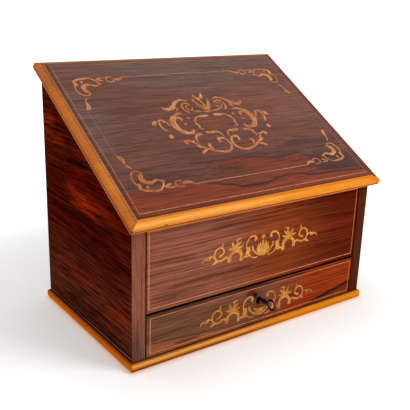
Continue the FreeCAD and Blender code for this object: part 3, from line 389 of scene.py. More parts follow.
def blend(tree, factor, first, second, how="MIX"):
    """Mixes two colours."""
    node = add_node(tree, "Mix", data_type="RGBA", blend_type=how)
    for index, value in ((0, factor), (6, first), (7, second)):
        if isinstance(value, bpy.types.NodeSocket):
            tree.links.new(value, node.inputs[index])
        else:
            node.inputs[index].default_value = value
    return node.outputs[2]


def number(tree, operation, *values):
    """One arithmetic step."""
    node = add_node(tree, "Math", operation=operation)
    for index, value in enumerate(values):
        if isinstance(value, bpy.types.NodeSocket):
            tree.links.new(value, node.inputs[index])
        else:
            node.inputs[index].default_value = value
    return node.outputs[0]


def times(tree, first, second):
    return number(tree, "MULTIPLY", first, second)


def plus(tree, first, second):
    return number(tree, "ADD", first, second)


def less(tree, first, second):
    return number(tree, "SUBTRACT", first, second)


def size_of(tree, value):
    return number(tree, "ABSOLUTE", value)


def stretch(tree, vector, scale):
    return add_node(tree, "Mapping", {"Vector": vector, "Scale": scale}).outputs[0]


def step_between(tree, value, low, high, to_low=0.0, to_high=1.0):
    """Smooth step of a value between two limits."""
    inputs = {"Value": value, "From Min": low, "From Max": high, "To Min": to_low, "To Max": to_high}
    node = add_node(tree, "MapRange", inputs, interpolation_type="SMOOTHSTEP")
    return node.outputs["Result"]


def noise(tree, vector, scale, detail=3.0, roughness=0.55, distortion=0.0):
    inputs = {"Vector": vector, "Scale": scale, "Detail": detail, "Roughness": roughness, "Distortion": distortion}
    return add_node(tree, "TexNoise", inputs).outputs["Fac"]


def new_group(name, inputs, outputs):
    """Empty node group with named sockets; returns it with its input and output nodes."""
    tree = bpy.data.node_groups.new(name, "ShaderNodeTree")
    for label, kind, value in inputs:
        socket = tree.interface.new_socket(label, in_out="INPUT", socket_type=f"NodeSocket{kind}")
        if value is not None:
            socket.default_value = value
    for label, kind in outputs:
        tree.interface.new_socket(label, in_out="OUTPUT", socket_type=f"NodeSocket{kind}")
    return tree, tree.nodes.new("NodeGroupInput").outputs, tree.nodes.new("NodeGroupOutput").inputs


def use_group(tree, group, inputs):
    node = tree.nodes.new("ShaderNodeGroup")
    node.node_tree = group
    for key, value in inputs.items():
        if isinstance(value, bpy.types.NodeSocket):
            tree.links.new(value, node.inputs[key])
        else:
            node.inputs[key].default_value = value
    return node.outputs


def srgb(red, green, blue):
    """A colour written the way a paint chart does, 0 to 255, as linear light."""
    channels = [value / 255 for value in (red, green, blue)]
    return [c / 12.92 if c <= 0.04045 else ((c + 0.055) / 1.055) ** 2.4 for c in channels] + [1.0]


def new_material(name, roughness, specular, coat=0.0, coat_roughness=0.1, metallic=0.0):
    """Material with its Principled shader; constants are set on the shader itself."""
    material = bpy.data.materials.new(name)
    material.use_nodes = True
    shader = material.node_tree.nodes["Principled BSDF"]
    shader.inputs["Roughness"].default_value = roughness
    shader.inputs["Specular IOR Level"].default_value = specular
    shader.inputs["Coat Weight"].default_value = coat
    shader.inputs["Coat Roughness"].default_value = coat_roughness
    shader.inputs["Metallic"].default_value = metallic
    return material, material.node_tree, shader.inputs


def bump(tree, height, strength, distance):
    inputs = {"Height": height, "Strength": strength, "Distance": distance}
    return add_node(tree, "Bump", inputs).outputs["Normal"]


# Places on a face. They run along the grain, across it and out of the face.


LID_FOOT_RUN = FRONT_Y * math.cos(LID_SLOPE) + LID_FOOT_Z * math.sin(LID_SLOPE)
LID_FOOT_RISE = LID_FOOT_Z * math.cos(LID_SLOPE) - FRONT_Y * math.sin(LID_SLOPE)


def face_place(tree, order, in_lid=False):
    """Object coordinates with the axes in the given order. In the lid, y runs up the slope and z off its face."""
    place = add_node(tree, "TexCoord").outputs["Object"]
    if in_lid:
        turn = {"Vector": place, "Rotation": (-LID_SLOPE, 0, 0), "Location": (0, -LID_FOOT_RUN, -LID_FOOT_RISE)}
        place = add_node(tree, "Mapping", turn).outputs[0]
    parts = add_node(tree, "SeparateXYZ", {0: place}).outputs
    chosen = {index: parts["xyz".index(letter)] for index, letter in enumerate(order)}
    return add_node(tree, "CombineXYZ", chosen).outputs[0]


def part_of(tree, place, letter):
    """One coordinate of a place, in millimetres."""
    parts = add_node(tree, "SeparateXYZ", {0: place}).outputs
    return number(tree, "DIVIDE", parts["xyz".index(letter)], MM)


def split_place(tree, place, letters):
    """Several coordinates of a place, in metres."""
    parts = add_node(tree, "SeparateXYZ", {0: place}).outputs
    return [parts["xyz".index(letter)] for letter in letters]


def patch(tree, place, centre, reach, waver=0.5, soft=0.6):
    """Mask of a rounded area with a wavering edge. Centre and reach are (along, across) in millimetres."""
    middle = (centre[0] * MM, centre[1] * MM, 0)
    scale = (1 / (reach[0] * MM), 1 / (reach[1] * MM), 0)
    away = add_node(tree, "VectorMath", {0: place, 1: middle}, operation="SUBTRACT").outputs[0]
    even = add_node(tree, "VectorMath", {0: away, 1: scale}, operation="MULTIPLY").outputs[0]
    distance = add_node(tree, "VectorMath", {0: even}, operation="LENGTH").outputs["Value"]
    drawn = stretch(tree, place, (18, 70, 70))
    ragged = times(tree, less(tree, noise(tree, drawn, 1.0, 4.0), 0.5), 4 * waver)
    return step_between(tree, plus(tree, distance, ragged), 1.0, 1.0 - soft)


def over_line(tree, place, points, waver=1.5):
    """How far a place lies above a wavy line drawn through (along, across) points, in millimetres."""
    first, last = points[0][0], points[-1][0]
    low = min(point[1] for point in points)
    high = max(point[1] for point in points)
    node = add_node(tree, "FloatCurve")
    curve = node.mapping.curves[0]
    places = [((along - first) / (last - first), (up - low) / (high - low)) for along, up in points]
    curve.points[0].location = places[0]
    curve.points[1].location = places[-1]
    for along, up in places[1:-1]:
        curve.points.new(along, up)
    node.mapping.update()
    along = part_of(tree, place, "x")
    run = add_node(tree, "MapRange", {"Value": along, "From Min": first, "From Max": last}).outputs["Result"]
    tree.links.new(run, node.inputs["Value"])
    line = add_node(tree, "MapRange", {"Value": node.outputs["Value"], "To Min": low, "To Max": high})
    drawn = stretch(tree, place, (60, 60, 60))
    ragged = times(tree, less(tree, noise(tree, drawn, 1.0, 4.0), 0.5), 4 * waver)
    above = less(tree, part_of(tree, place, "y"), line.outputs["Result"])
    return plus(tree, above, ragged)


def between(tree, value, low, high, soft):
    """Mask of the values between two limits."""
    rise = step_between(tree, value, low - soft, low + soft)
    fall = step_between(tree, value, high + soft, high - soft)
    return times(tree, rise, fall)


def colour_run(tree, value, stops):
    """Colour that changes along a value, through stops of (value, colour)."""
    low, high = stops[0][0], stops[-1][0]
    node = add_node(tree, "ValToRGB")
    ramp = node.color_ramp
    for _ in stops[2:]:
        ramp.elements.new(0.5)
    for index, (place, colour) in enumerate(stops):
        ramp.elements[index].position = (place - low) / (high - low)
        ramp.elements[index].color = srgb(*colour)
    run = add_node(tree, "MapRange", {"Value": value, "From Min": low, "From Max": high})
    tree.links.new(run.outputs["Result"], node.inputs["Fac"])
    return node.outputs["Color"]


# Shared wood effects


def make_wood_group():
    """Grain of a hardwood, from places in metres along and across it.

    Shade is a factor for the wood's colour, Streak a mask of dark streaks, Height the surface's open pores.
    """
    inputs = [("Vector", "Vector", None), ("Contrast", "Float", 0.35), ("Swirl", "Float", 0.5), ("Bands", "Float", 3.0)]
    outputs = [("Shade", "Float"), ("Streak", "Float"), ("Height", "Float")]
    tree, inside, out = new_group("wood_grain", inputs, outputs)

    def stretched(vector, along, across):
        return stretch(tree, vector, (along, across, across))

    def centred(value, amount):
        return times(tree, less(tree, value, 0.5), amount)

    slow = stretched(inside["Vector"], 9.0, 22.0)
    warp = add_node(tree, "TexNoise", {"Vector": slow, "Scale": 1.0, "Detail": 2.0}).outputs["Color"]
    shift = add_node(tree, "VectorMath", {0: warp, 1: (0.5, 0.5, 0.5)}, operation="SUBTRACT").outputs[0]
    flat = add_node(tree, "VectorMath", {0: shift, 1: (0.0, 0.03, 0.03)}, operation="MULTIPLY").outputs[0]
    scaled = add_node(tree, "VectorMath", {0: flat}, operation="SCALE")
    tree.links.new(inside["Swirl"], scaled.inputs["Scale"])
    shifted = {0: inside["Vector"], 1: scaled.outputs[0]}
    bent = add_node(tree, "VectorMath", shifted, operation="ADD").outputs[0]
    bands = centred(noise(tree, stretched(bent, 9.0, 110.0), 1.0, 4.0, 0.62), 1.0)
    bands = times(tree, bands, inside["Bands"])
    lines = centred(noise(tree, stretched(bent, 24.0, 560.0), 1.0, 4.0, 0.75), 9.0)
    pores = noise(tree, stretched(bent, 70.0, 1500.0), 1.0, 2.0, 0.6)
    mixed = plus(tree, plus(tree, bands, lines), centred(pores, 1.0))
    shade = number(tree, "MULTIPLY_ADD", mixed, inside["Contrast"], 1.0)
    tree.links.new(number(tree, "MAXIMUM", shade, 0.25), out["Shade"])
    long_run = noise(tree, stretched(bent, 6.0, 210.0), 1.0, 5.0, 0.68)
    tree.links.new(step_between(tree, long_run, 0.55, 0.70), out["Streak"])
    tree.links.new(step_between(tree, pores, 0.42, 0.60), out["Height"])
    return tree


def make_wear_group():
    """Polish that is uneven: cloudy patches and short rubbed scratches, as a roughness."""
    inputs = [("Vector", "Vector", None), ("Smooth", "Float", 0.25), ("Rubbed", "Float", 0.45)]
    tree, inside, out = new_group("uneven_polish", inputs, [("Roughness", "Float")])
    cloud = noise(tree, inside["Vector"], 14.0, 4.0, 0.6)
    thin = stretch(tree, inside["Vector"], (14.0, 160.0, 160.0))
    scratch = step_between(tree, noise(tree, thin, 1.0, 2.0), 0.62, 0.72)
    mask = number(tree, "MAXIMUM", step_between(tree, cloud, 0.35, 0.75), scratch)
    result = add_node(tree, "Mix", data_type="FLOAT")
    tree.links.new(mask, result.inputs[0])
    tree.links.new(inside["Smooth"], result.inputs[2])
    tree.links.new(inside["Rubbed"], result.inputs[3])
    tree.links.new(result.outputs[0], out["Roughness"])
    return tree


WOOD = make_wood_group()
POLISH = make_wear_group()


# Finishes


def wood(name, order, colour, areas=None, in_lid=False, seed=0.0, **look):
    """Polished wood. colour is its base; areas(tree, place, colour) paints the figure of one board over it."""
    finish = {**PLAIN_LOOK, **look}
    material, tree, shader = new_material(name, finish["smooth"], finish["specular"])
    place = face_place(tree, order, in_lid)
    shifted = add_node(tree, "VectorMath", {0: place, 1: (seed, seed, 0)}, operation="ADD").outputs[0]
    drawn = stretch(tree, shifted, (1 / finish["length"], 1, 1))
    inputs = {"Vector": drawn, "Contrast": finish["contrast"], "Swirl": finish["swirl"], "Bands": finish["bands"]}
    grain = use_group(tree, WOOD, inputs)
    base = areas(tree, place, srgb(*colour)) if areas else srgb(*colour)
    shaded = add_node(tree, "VectorMath", {0: base if areas else base[:3]}, operation="SCALE")
    tree.links.new(grain["Shade"], shaded.inputs["Scale"])
    streak = times(tree, grain["Streak"], finish["streaks"])
    darker = add_node(tree, "VectorMath", {0: shaded.outputs[0]}, operation="SCALE")
    darker.inputs["Scale"].default_value = STREAK_SHADE
    tree.links.new(blend(tree, streak, shaded.outputs[0], darker.outputs[0]), shader["Base Color"])
    smooth = finish["smooth"]
    polish = use_group(tree, POLISH, {"Vector": shifted, "Smooth": smooth, "Rubbed": smooth + RUBBED_MORE})
    tree.links.new(polish["Roughness"], shader["Roughness"])
    tree.links.new(bump(tree, grain["Height"], PORE_STRENGTH, PORE_DEPTH), shader["Normal"])
    return material


def painted(tree, base, layers):
    """Colours laid over a base one after another: (mask, amount, colour)."""
    for mask, amount, colour in layers:
        base = blend(tree, times(tree, mask, amount), base, srgb(*colour))
    return base


LID_LOWER_LINE = [
    (-178, 34), (-130, 33), (-100, 34), (-75, 31), (-60, 27), (-40, 21), (-20, 15), (0, 14), (20, 17), (40, 20),
    (60, 20), (80, 15), (110, 13), (140, 12), (178, 9),
]
LID_UPPER_LINE = [
    (-178, 66), (-90, 66), (-60, 62), (-30, 62), (0, 61), (30, 57), (60, 52), (80, 55), (100, 48), (110, 40),
    (120, 24), (178, 16),
]


def lid_figure(tree, place, base):
    """Lid veneer: plum brown, with a painted grey reflection towards the rear and left, a red sap band and its dark
    lines near the front.
    """
    spot = partial(patch, tree, place)
    along = part_of(tree, place, "x")
    lower = over_line(tree, place, LID_LOWER_LINE, 0.8)
    upper = over_line(tree, place, LID_UPPER_LINE, 1.2)
    under_upper = step_between(tree, upper, 1.0, -1.0)
    inside = times(tree, under_upper, step_between(tree, along, -75.0, -10.0))
    from_left = step_between(tree, along, -95.0, -60.0)
    band = times(tree, between(tree, upper, -1.0, 9.0, 3.0), from_left)
    hair_line = times(tree, between(tree, upper, -0.5, 1.8, 0.8), from_left)
    ink = times(tree, between(tree, lower, 0.0, 3.0, 1.5), from_left)
    return painted(
        tree,
        base,
        [
            # painted reflection: a grey sheen over the rear and the left of the polished lid
            (spot((0, 262), (260, 70), 0.2, 0.9), 0.75, LID_REFLECTION_GREY),
            (spot((115, 155), (90, 75), 0.3, 0.8), 0.8, LID_ROSE),
            (spot((-165, 150), (45, 80), 0.3, 0.8), 0.6, LID_REFLECTION_GREY),
            (spot((0, 212), (130, 36), 0.3, 0.8), 0.5, LID_REFLECTION_GREY),
            (spot((3, 126), (30, 15), 0.3, 0.7), 0.4, LID_WARM),
            (inside, 0.9, LID_RED),
            (spot((-30, 30), (40, 14), 0.5), 0.7, LID_DUSK),
            (spot((132, 36), (56, 24), 0.4), 1.0, LID_DARK),
            (spot((128, 70), (52, 11), 0.6), 0.85, LID_DARK),
            (spot((-36, 46), (30, 12), 0.5), 0.5, LID_DARK),
            (spot((126, 23), (32, 7), 0.8), 0.6, LID_INK),
            (spot((-118, 46), (62, 16), 0.5), 0.55, LID_DARK),
            (spot((-100, 165), (50, 9), 0.8), 0.4, LID_DARK),
            (spot((-70, 85), (70, 8), 0.8), 0.4, LID_DARK),
            (band, 0.55, LID_DARK),
            (step_between(tree, lower, 0.7, -0.7), 0.95, LID_FOOT),
            (hair_line, 0.6, LID_INK),
            (ink, 0.85, LID_INK),
            (spot((-5, 17), (28, 5), 0.4), 0.6, LID_INK),
            (step_between(tree, part_of(tree, place, "y"), 1.0, -1.0), 0.55, LID_INK),
            (step_between(tree, along, -172.5, -175.5), 0.5, LID_INK),
        ],
    )


LID_PLUM = (102, 61, 49)
# grey of the painted reflection on the lid
LID_REFLECTION_GREY = (102, 80, 73)
LID_ROSE = (119, 70, 56)
LID_RED = (116, 52, 33)
LID_FOOT = (124, 53, 30)
LID_WARM = (138, 72, 48)
LID_DUSK = (94, 49, 33)
LID_DARK = (74, 46, 38)
LID_INK = (50, 26, 20)


def front_rim(tree, place):
    """Mask of the thin edges of the fall and the drawer front, where they face the case and each other; these
    edges are painted near black as shade in the gaps.
    """
    across = size_of(tree, part_of(tree, place, "x"))
    up = part_of(tree, place, "y")
    ends = step_between(tree, across, FRONT_HALF_WIDTH / MM - 0.15, FRONT_HALF_WIDTH / MM - 0.05)
    gap = between(tree, up, DRAWER_TOP / MM - 0.1, FALL_FOOT / MM + 0.1, 0.04)
    return number(tree, "MAXIMUM", ends, gap)


def fall_figure(tree, place, base):
    """Fall veneer: warm brown on the left, dark red on the right, ruled with dark streaks."""
    along = part_of(tree, place, "x")
    thin = [
        (patch(tree, place, centre, reach, 0.8, 0.9), amount, FALL_INK)
        for centre, reach, amount in (
            ((-135, 122), (45, 3.5), 0.35),
            ((-125, 82), (48, 7.0), 0.4),
            ((-60, 91), (90, 3.0), 0.35),
            ((118, 112), (50, 4.0), 0.75),
            ((105, 94), (60, 3.5), 0.65),
            ((95, 82), (40, 2.5), 0.5),
            ((120, 134), (40, 2.5), 0.4),
            ((100, 155), (55, 3.0), 0.55),
            ((-20, 150), (80, 2.5), 0.3),
        )
    ]
    return painted(
        tree,
        base,
        [
            (step_between(tree, along, -80.0, 30.0), 0.95, FALL_WARM),
            (step_between(tree, along, 20.0, 150.0), 0.85, FALL_RED),
            (patch(tree, place, (120, 158), (90, 16), 0.3, 0.8), 0.5, FALL_DEEP),
            *thin,
            # painted shade: the fall's edges in the gaps, near black
            (front_rim(tree, place), 0.9, GAP_SHADE_BLACK),
        ],
    )


FALL_BROWN = (134, 79, 60)
FALL_WARM = (124, 55, 23)
FALL_RED = (84, 21, 9)
FALL_DEEP = (72, 14, 8)
FALL_INK = (44, 16, 9)
# near black of the painted shade in the gaps round the fall and beside the stiles
GAP_SHADE_BLACK = (18, 6, 4)

DRAWER_LEFT_LINE = [(-165, 27), (-130, 25), (-100, 22), (-60, 18), (-20, 13), (20, 8)]
DRAWER_SWOOSH = [(60, 8), (85, 15), (110, 20), (135, 25), (163, 29)]


def drawer_figure(tree, place, base):
    """Drawer veneer: grey brown on the left over a slanting line, flame red on the right."""
    spot = partial(patch, tree, place)
    along = part_of(tree, place, "x")
    left = over_line(tree, place, DRAWER_LEFT_LINE, 0.8)
    swoosh = over_line(tree, place, DRAWER_SWOOSH, 1.0)
    on_left = step_between(tree, along, 20.0, -20.0)
    on_right = step_between(tree, along, 70.0, 95.0)
    top_strip = step_between(tree, part_of(tree, place, "y"), 59.3, 60.6)
    slant = plus(tree, along, times(tree, part_of(tree, place, "y"), -0.6))
    return painted(
        tree,
        base,
        [
            (times(tree, step_between(tree, left, 0.8, -0.8), on_left), 0.9, DRAWER_SAP),
            (times(tree, between(tree, left, 0.0, 1.5, 1.0), on_left), 0.5, DRAWER_INK),
            (spot((-40, 36), (60, 30), 0.3, 0.8), 0.55, DRAWER_MIDDLE),
            (step_between(tree, slant, -45.0, 70.0), 0.95, DRAWER_FLAME),
            (spot((-110, 19), (25, 3), 0.6), 0.5, DRAWER_INK),
            (spot((-15, 53.5), (11, 5), 0.5), 0.75, DRAWER_STAIN),
            # painted shadow of the key, dark round the keyhole
            (spot((-7, 49), (6, 5), 0.5), 0.9, DRAWER_SHADOW_BLACK),
            (spot((-1.5, 42), (5, 7.5), 0.2, 0.4), 0.97, DRAWER_SHADOW_BLACK),
            (times(tree, top_strip, step_between(tree, along, 70.0, -60.0)), 0.55, DRAWER_INK),
            (spot((20, 61.5), (60, 2.5), 0.7), 0.6, DRAWER_INK),
            (times(tree, step_between(tree, swoosh, 2.0, -2.0), on_right), 0.7, DRAWER_SHADE),
            (times(tree, between(tree, swoosh, -3.0, 1.5, 1.2), on_right), 0.9, DRAWER_INK),
            # painted shade: the drawer front's edges in the gaps, near black
            (front_rim(tree, place), 0.9, DRAWER_SHADOW_BLACK),
        ],
    )


DRAWER_GREY = (112, 72, 53)
DRAWER_SAP = (148, 86, 56)
DRAWER_MIDDLE = (124, 68, 38)
DRAWER_FLAME = (144, 52, 18)
DRAWER_SHADE = (98, 44, 22)
DRAWER_INK = (44, 22, 12)
DRAWER_STAIN = (74, 14, 6)
# near black of the painted shadow round the keyhole and the painted shade in the gaps
DRAWER_SHADOW_BLACK = (18, 6, 4)


def side_figure(tree, place, base):
    """Side veneer: nearly black red, with a flame of orange halfway up and browner wood low down."""
    up = part_of(tree, place, "y")
    layers = [
        ((8, 167), (64, 17), 0.5, 0.5, SIDE_FLAME),
        ((-70, 163), (40, 12), 0.6, 0.15, SIDE_FLAME),
        ((98, 240), (34, 26), 0.5, 0.5, SIDE_ORANGE),
        ((70, 224), (30, 8), 0.8, 0.5, SIDE_ORANGE),
        ((-80, 55), (38, 20), 0.6, 0.45, SIDE_RED),
        ((10, 70), (60, 16), 0.6, 0.3, SIDE_RED),
        ((5, 192), (70, 12), 0.5, 0.7, SIDE_WINE),
        ((-95, 165), (22, 14), 0.5, 0.5, SIDE_WINE),
        ((20, 209), (62, 5), 0.6, 0.9, SIDE_BLACK),
        ((-10, 142), (110, 10), 0.6, 0.65, SIDE_BLACK),
        ((88, 190), (34, 16), 0.6, 0.55, SIDE_BLACK),
        ((50, 240), (70, 3), 0.9, 0.7, SIDE_BLACK),
        ((0, 24), (120, 8), 0.5, 0.4, SIDE_BLACK),
        ((0, 112), (125, 24), 0.5, 0.3, SIDE_BLACK),
    ]
    return painted(
        tree,
        base,
        [(step_between(tree, up, 135.0, 40.0), 0.7, SIDE_BROWN)]
        + [
            (patch(tree, place, centre, reach, waver, 0.8), amount, colour)
            for centre, reach, waver, amount, colour in layers
        ]
        + [
            # painted shade along the foot of the side, over the base moulding, with a thin painted highlight line in it
            (between(tree, up, 8.0, 18.0, 2.0), 0.7, SIDE_BLACK),
            (between(tree, up, 13.6, 14.4, 0.4), 0.7, SIDE_GLEAM),
        ],
    )


SIDE_NIGHT = (72, 16, 6)
SIDE_FLAME = (158, 42, 6)
SIDE_ORANGE = (124, 38, 8)
SIDE_RED = (122, 32, 8)
SIDE_BROWN = (88, 41, 26)
SIDE_WINE = (82, 5, 3)
SIDE_BLACK = (30, 5, 3)
# pale grey of the painted highlight line at the side's foot
SIDE_GLEAM = (150, 122, 124)


def stile_figure(tree, place, base):
    """Both front stiles: the left one is ashen brown, the right one dark."""
    right = step_between(tree, part_of(tree, place, "y"), -1.0, 1.0)
    foot = step_between(tree, part_of(tree, place, "x"), 75.0, 15.0)
    across = size_of(tree, part_of(tree, place, "y"))
    inner_edge = step_between(tree, across, STILE_INNER / MM + 0.15, STILE_INNER / MM + 0.05)
    # the stiles' inner edges, facing the gaps by the fall and drawer, are painted near black as shade
    layers = [(foot, 0.9, STILE_FOOT), (right, 1.0, STILE_DARK), (inner_edge, 0.9, GAP_SHADE_BLACK)]
    return painted(tree, base, layers)


STILE_ASH = (136, 80, 60)
STILE_FOOT = (98, 66, 55)
STILE_DARK = (80, 36, 22)


def lid_edge_figure(tree, place, _base):
    """Lid moulding: golden along the front and redder to the right, with painted shade at the foot of its roll and a
    painted highlight on its crest, painted shade over the right side and the rear, a painted highlight along the
    right side's outer edge, a quirk painted dark as shade, a brown fillet and dark mitre joints.

    Its place is in the lid's own order: across the lid, up the slope, off its face.
    """
    along = part_of(tree, place, "x")
    across = size_of(tree, along)
    up = part_of(tree, place, "y")
    out = part_of(tree, place, "z")
    past_front = plus(tree, plus(tree, across, up), -LID_FRONT_MITRE)
    past_rear = plus(tree, less(tree, across, up), LID_REAR_MITRE)
    inner = number(tree, "MINIMUM", past_front, past_rear)
    joint = step_between(tree, size_of(tree, inner), 0.7, 0.25)
    flank = step_between(tree, inner, -0.1, 0.1)
    band = step_between(tree, out, 8.4, 8.7)
    right = times(tree, flank, step_between(tree, along, -1.0, 1.0))
    rear_side = step_between(tree, past_rear, 0.1, -0.1)
    front_view = add_node(tree, "CombineXYZ", dict(zip((0, 1), split_place(tree, place, "xz")))).outputs[0]
    worm_marks = [(patch(tree, front_view, centre, reach, 0.3, 0.7), 0.85, EDGE_MARK) for centre, reach in WORM_MARKS]
    # colour ramps across the roll: painted shade at the foot, a painted highlight on the crest
    front = colour_run(tree, out, FRONT_ROLL)
    front = painted(tree, front, [(step_between(tree, along, *AMBER_RUN), RIGHT_TINT, EDGE_AMBER)])
    rolled = blend(tree, flank, front, colour_run(tree, out, FLANK_ROLL))
    # painted shade in the quirk: near black from the fillet up past the groove, higher on the sides
    quirk_top = step_between(tree, flank, 0.4, 0.6, 2.8, 3.9)
    below = step_between(tree, less(tree, out, quirk_top), 0.15, -0.15)
    quirk = times(tree, below, step_between(tree, out, 1.45, 1.7))
    return painted(
        tree,
        rolled,
        [
            (step_between(tree, along, 158.0, 186.0), 0.5, EDGE_RED),
            (patch(tree, place, (-182, 60), (9, 44), 0.7, 0.9), 0.2, EDGE_SHINE),
            (patch(tree, place, (-180, 238), (10, 50), 0.7, 0.9), 0.3, EDGE_SHADE),
            (times(tree, right, step_between(tree, out, 5.5, 7.5)), 0.95, EDGE_SHADE),
            # painted shade and a painted grey reflection over the rear moulding
            (rear_side, 0.8, EDGE_REAR_SHADE),
            (times(tree, rear_side, band), 0.8, EDGE_SHADE),
            (step_between(tree, out, 1.8, 1.5), 0.9, EDGE_FILLET),
            (quirk, 1.0, EDGE_QUIRK_SHADE),
            # painted highlight along the right side's outer edge
            (times(tree, right, between(tree, out, 4.5, 6.5, 0.5)), 0.8, EDGE_PALE_HIGHLIGHT),
            (joint, 0.6, EDGE_JOINT),
            *worm_marks,
        ],
    )


# the lid moulding's roll: its foot colour is painted shade, its crest colour a painted highlight
EDGE_FOOT_SHADE = (150, 80, 40)
EDGE_ROLL = (220, 135, 45)
EDGE_CREST_HIGHLIGHT = (245, 170, 80)
EDGE_BAND = (210, 120, 25)
EDGE_AMBER = (225, 130, 5)
RIGHT_TINT = 0.75
AMBER_RUN = (-60.0, 70.0)  # from where to where the front turns amber, across it
# where the mitres lie, from the sum or difference of the places across and up or back
LID_FRONT_MITRE = 175.2
LID_REAR_MITRE = 80.1
BASE_MITRE = 68.25
FLANK_FOOT_SHADE = (120, 45, 5)
FLANK_GOLD = (210, 110, 25)
FLANK_BAND = (180, 105, 50)
# painted shade at the foot, the roll, a painted highlight on the crest, and the band of the lid moulding: (off the
# lid's underside, colour)
FRONT_ROLL = [(2.0, EDGE_FOOT_SHADE), (6.0, EDGE_ROLL), (8.3, EDGE_CREST_HIGHLIGHT), (8.9, EDGE_BAND)]
FLANK_ROLL = [(2.3, FLANK_FOOT_SHADE), (6.0, FLANK_GOLD), (8.9, FLANK_BAND)]
# small dark marks on the front moulding: (across, off the face), then how far each reaches
WORM_MARKS = (((-147, 5.2), (3.4, 0.9)), ((-47, 5.0), (1.8, 0.6)), ((127, 5.4), (2.4, 0.7)), ((-85, 3.8), (1.4, 0.5)))
EDGE_MARK = (80, 34, 12)
EDGE_PALE_HIGHLIGHT = (176, 122, 94)
EDGE_RED = (222, 88, 12)
EDGE_SHADE = (94, 50, 30)
EDGE_GOLD = (240, 155, 42)
EDGE_REAR_SHADE = (150, 116, 94)
EDGE_FILLET = (202, 106, 34)
EDGE_QUIRK_SHADE = (26, 6, 2)
EDGE_JOINT = (116, 54, 14)


def base_edge_figure(tree, place, _base):
    """Base moulding: golden roll with a painted highlight on its crest, painted shade along the case on top and a dark
    line of painted shade at the table.
    """
    along = part_of(tree, place, "x")
    back = size_of(tree, part_of(tree, place, "y"))
    up = part_of(tree, place, "z")
    across = size_of(tree, along)
    past_mitre = plus(tree, less(tree, across, back), -BASE_MITRE)
    joint = size_of(tree, past_mitre)
    on_left = step_between(tree, along, 1.0, -1.0)
    flank = times(tree, step_between(tree, past_mitre, -0.1, 0.1), on_left)
    front = colour_run(tree, up, BASE_ROLL)
    front = painted(tree, front, [(step_between(tree, along, *AMBER_RUN), RIGHT_TINT, EDGE_AMBER)])
    rolled = blend(tree, flank, front, colour_run(tree, up, BASE_FLANK_ROLL))
    return painted(
        tree,
        rolled,
        [
            # painted shade along the case, on the moulding's top
            (step_between(tree, up, 11.1, 11.6), 0.9, EDGE_CORNER_SHADE),
            (step_between(tree, joint, 0.55, 0.15), 0.6, EDGE_JOINT),
        ],
    )


# painted shade at the foot and the top of the base moulding's roll
BASE_ROLL_SHADE = (150, 75, 10)
BASE_ORANGE = (240, 112, 15)
# painted shade at the foot, a painted highlight on the crest and painted shade at the top of the base moulding: (over
# the table, colour)
BASE_ROLL = [(4.5, BASE_ROLL_SHADE), (8.8, EDGE_CREST_HIGHLIGHT), (11.1, BASE_ROLL_SHADE)]
BASE_FLANK_ROLL = [(4.5, EDGE_BAND), (8.0, BASE_ORANGE), (11.3, BASE_ROLL_SHADE)]
EDGE_SHINE = (252, 170, 70)
# painted shade where the base moulding meets the case
EDGE_CORNER_SHADE = (70, 28, 8)


def make_boxwood(name, in_lid, pale, tan, brown, vein):
    """Boxwood inlay: each piece a little different, browned with hot sand along one edge, its leaves engraved
    with a dark vein."""
    material, tree, shader = new_material(name, 0.35, 0.05)
    place = face_place(tree, "xyz", in_lid)
    tone = add_node(tree, "Attribute", attribute_name="tone").outputs["Fac"]
    base = blend(tree, tone, srgb(*pale), srgb(*tan))
    cloud = step_between(tree, noise(tree, place, 120.0, 3.0), 0.4, 0.7)
    base = blend(tree, times(tree, cloud, 0.6), base, srgb(*brown))
    across = add_node(tree, "SeparateXYZ", {0: add_node(tree, "UVMap").outputs[0]}).outputs[1]
    scorched = times(tree, step_between(tree, across, 0.55, 1.0), 0.5)
    base = blend(tree, scorched, base, srgb(*BOX_SCORCH))
    broken = step_between(tree, noise(tree, place, 260.0, 2.0), 0.42, 0.55)
    engraved = times(tree, between(tree, across, 0.36, 0.54, 0.1), broken)
    base = blend(tree, times(tree, engraved, vein), base, srgb(*BOX_VEIN))
    drawn = stretch(tree, place, (240, 1300, 1300))
    pores = step_between(tree, noise(tree, drawn, 1.0, 2.0), 0.55, 0.75)
    base = blend(tree, times(tree, pores, 0.2), base, srgb(*BOX_SCORCH))
    tree.links.new(base, shader["Base Color"])
    return material


BOX_SCORCH = (120, 62, 28)
BOX_VEIN = (84, 44, 26)
BOXWOODS = (
    # name, in the lid, pale, tan, brown, vein
    ("lid_boxwood", True, (216, 148, 98), (188, 114, 64), (156, 88, 46), 0.8),
    ("fall_boxwood", False, (234, 168, 80), (220, 144, 58), (190, 110, 40), 0.85),
    ("drawer_boxwood", False, (222, 156, 80), (202, 124, 50), (166, 88, 36), 0.6),
    ("lid_string", True, (206, 140, 106), (138, 92, 76), (124, 76, 60), 0.0),
    ("front_string", False, (226, 150, 106), (204, 106, 48), (166, 92, 50), 0.0),
)


def make_metal(name, light, dark, roughness):
    """Worn metal: clean in places and tarnished in cloudy patches."""
    material, tree, shader = new_material(name, roughness, 0.5, metallic=1.0)
    place = face_place(tree, "xyz")
    tarnish = step_between(tree, noise(tree, place, 160.0, 5.0, 0.65), 0.38, 0.68)
    tree.links.new(blend(tree, tarnish, srgb(*light), srgb(*dark)), shader["Base Color"])
    polish = use_group(tree, POLISH, {"Vector": place, "Smooth": roughness, "Rubbed": roughness + 0.25})
    tree.links.new(polish["Roughness"], shader["Roughness"])
    tree.links.new(bump(tree, noise(tree, place, 900.0, 3.0), 0.1, 0.0001), shader["Normal"])
    return material


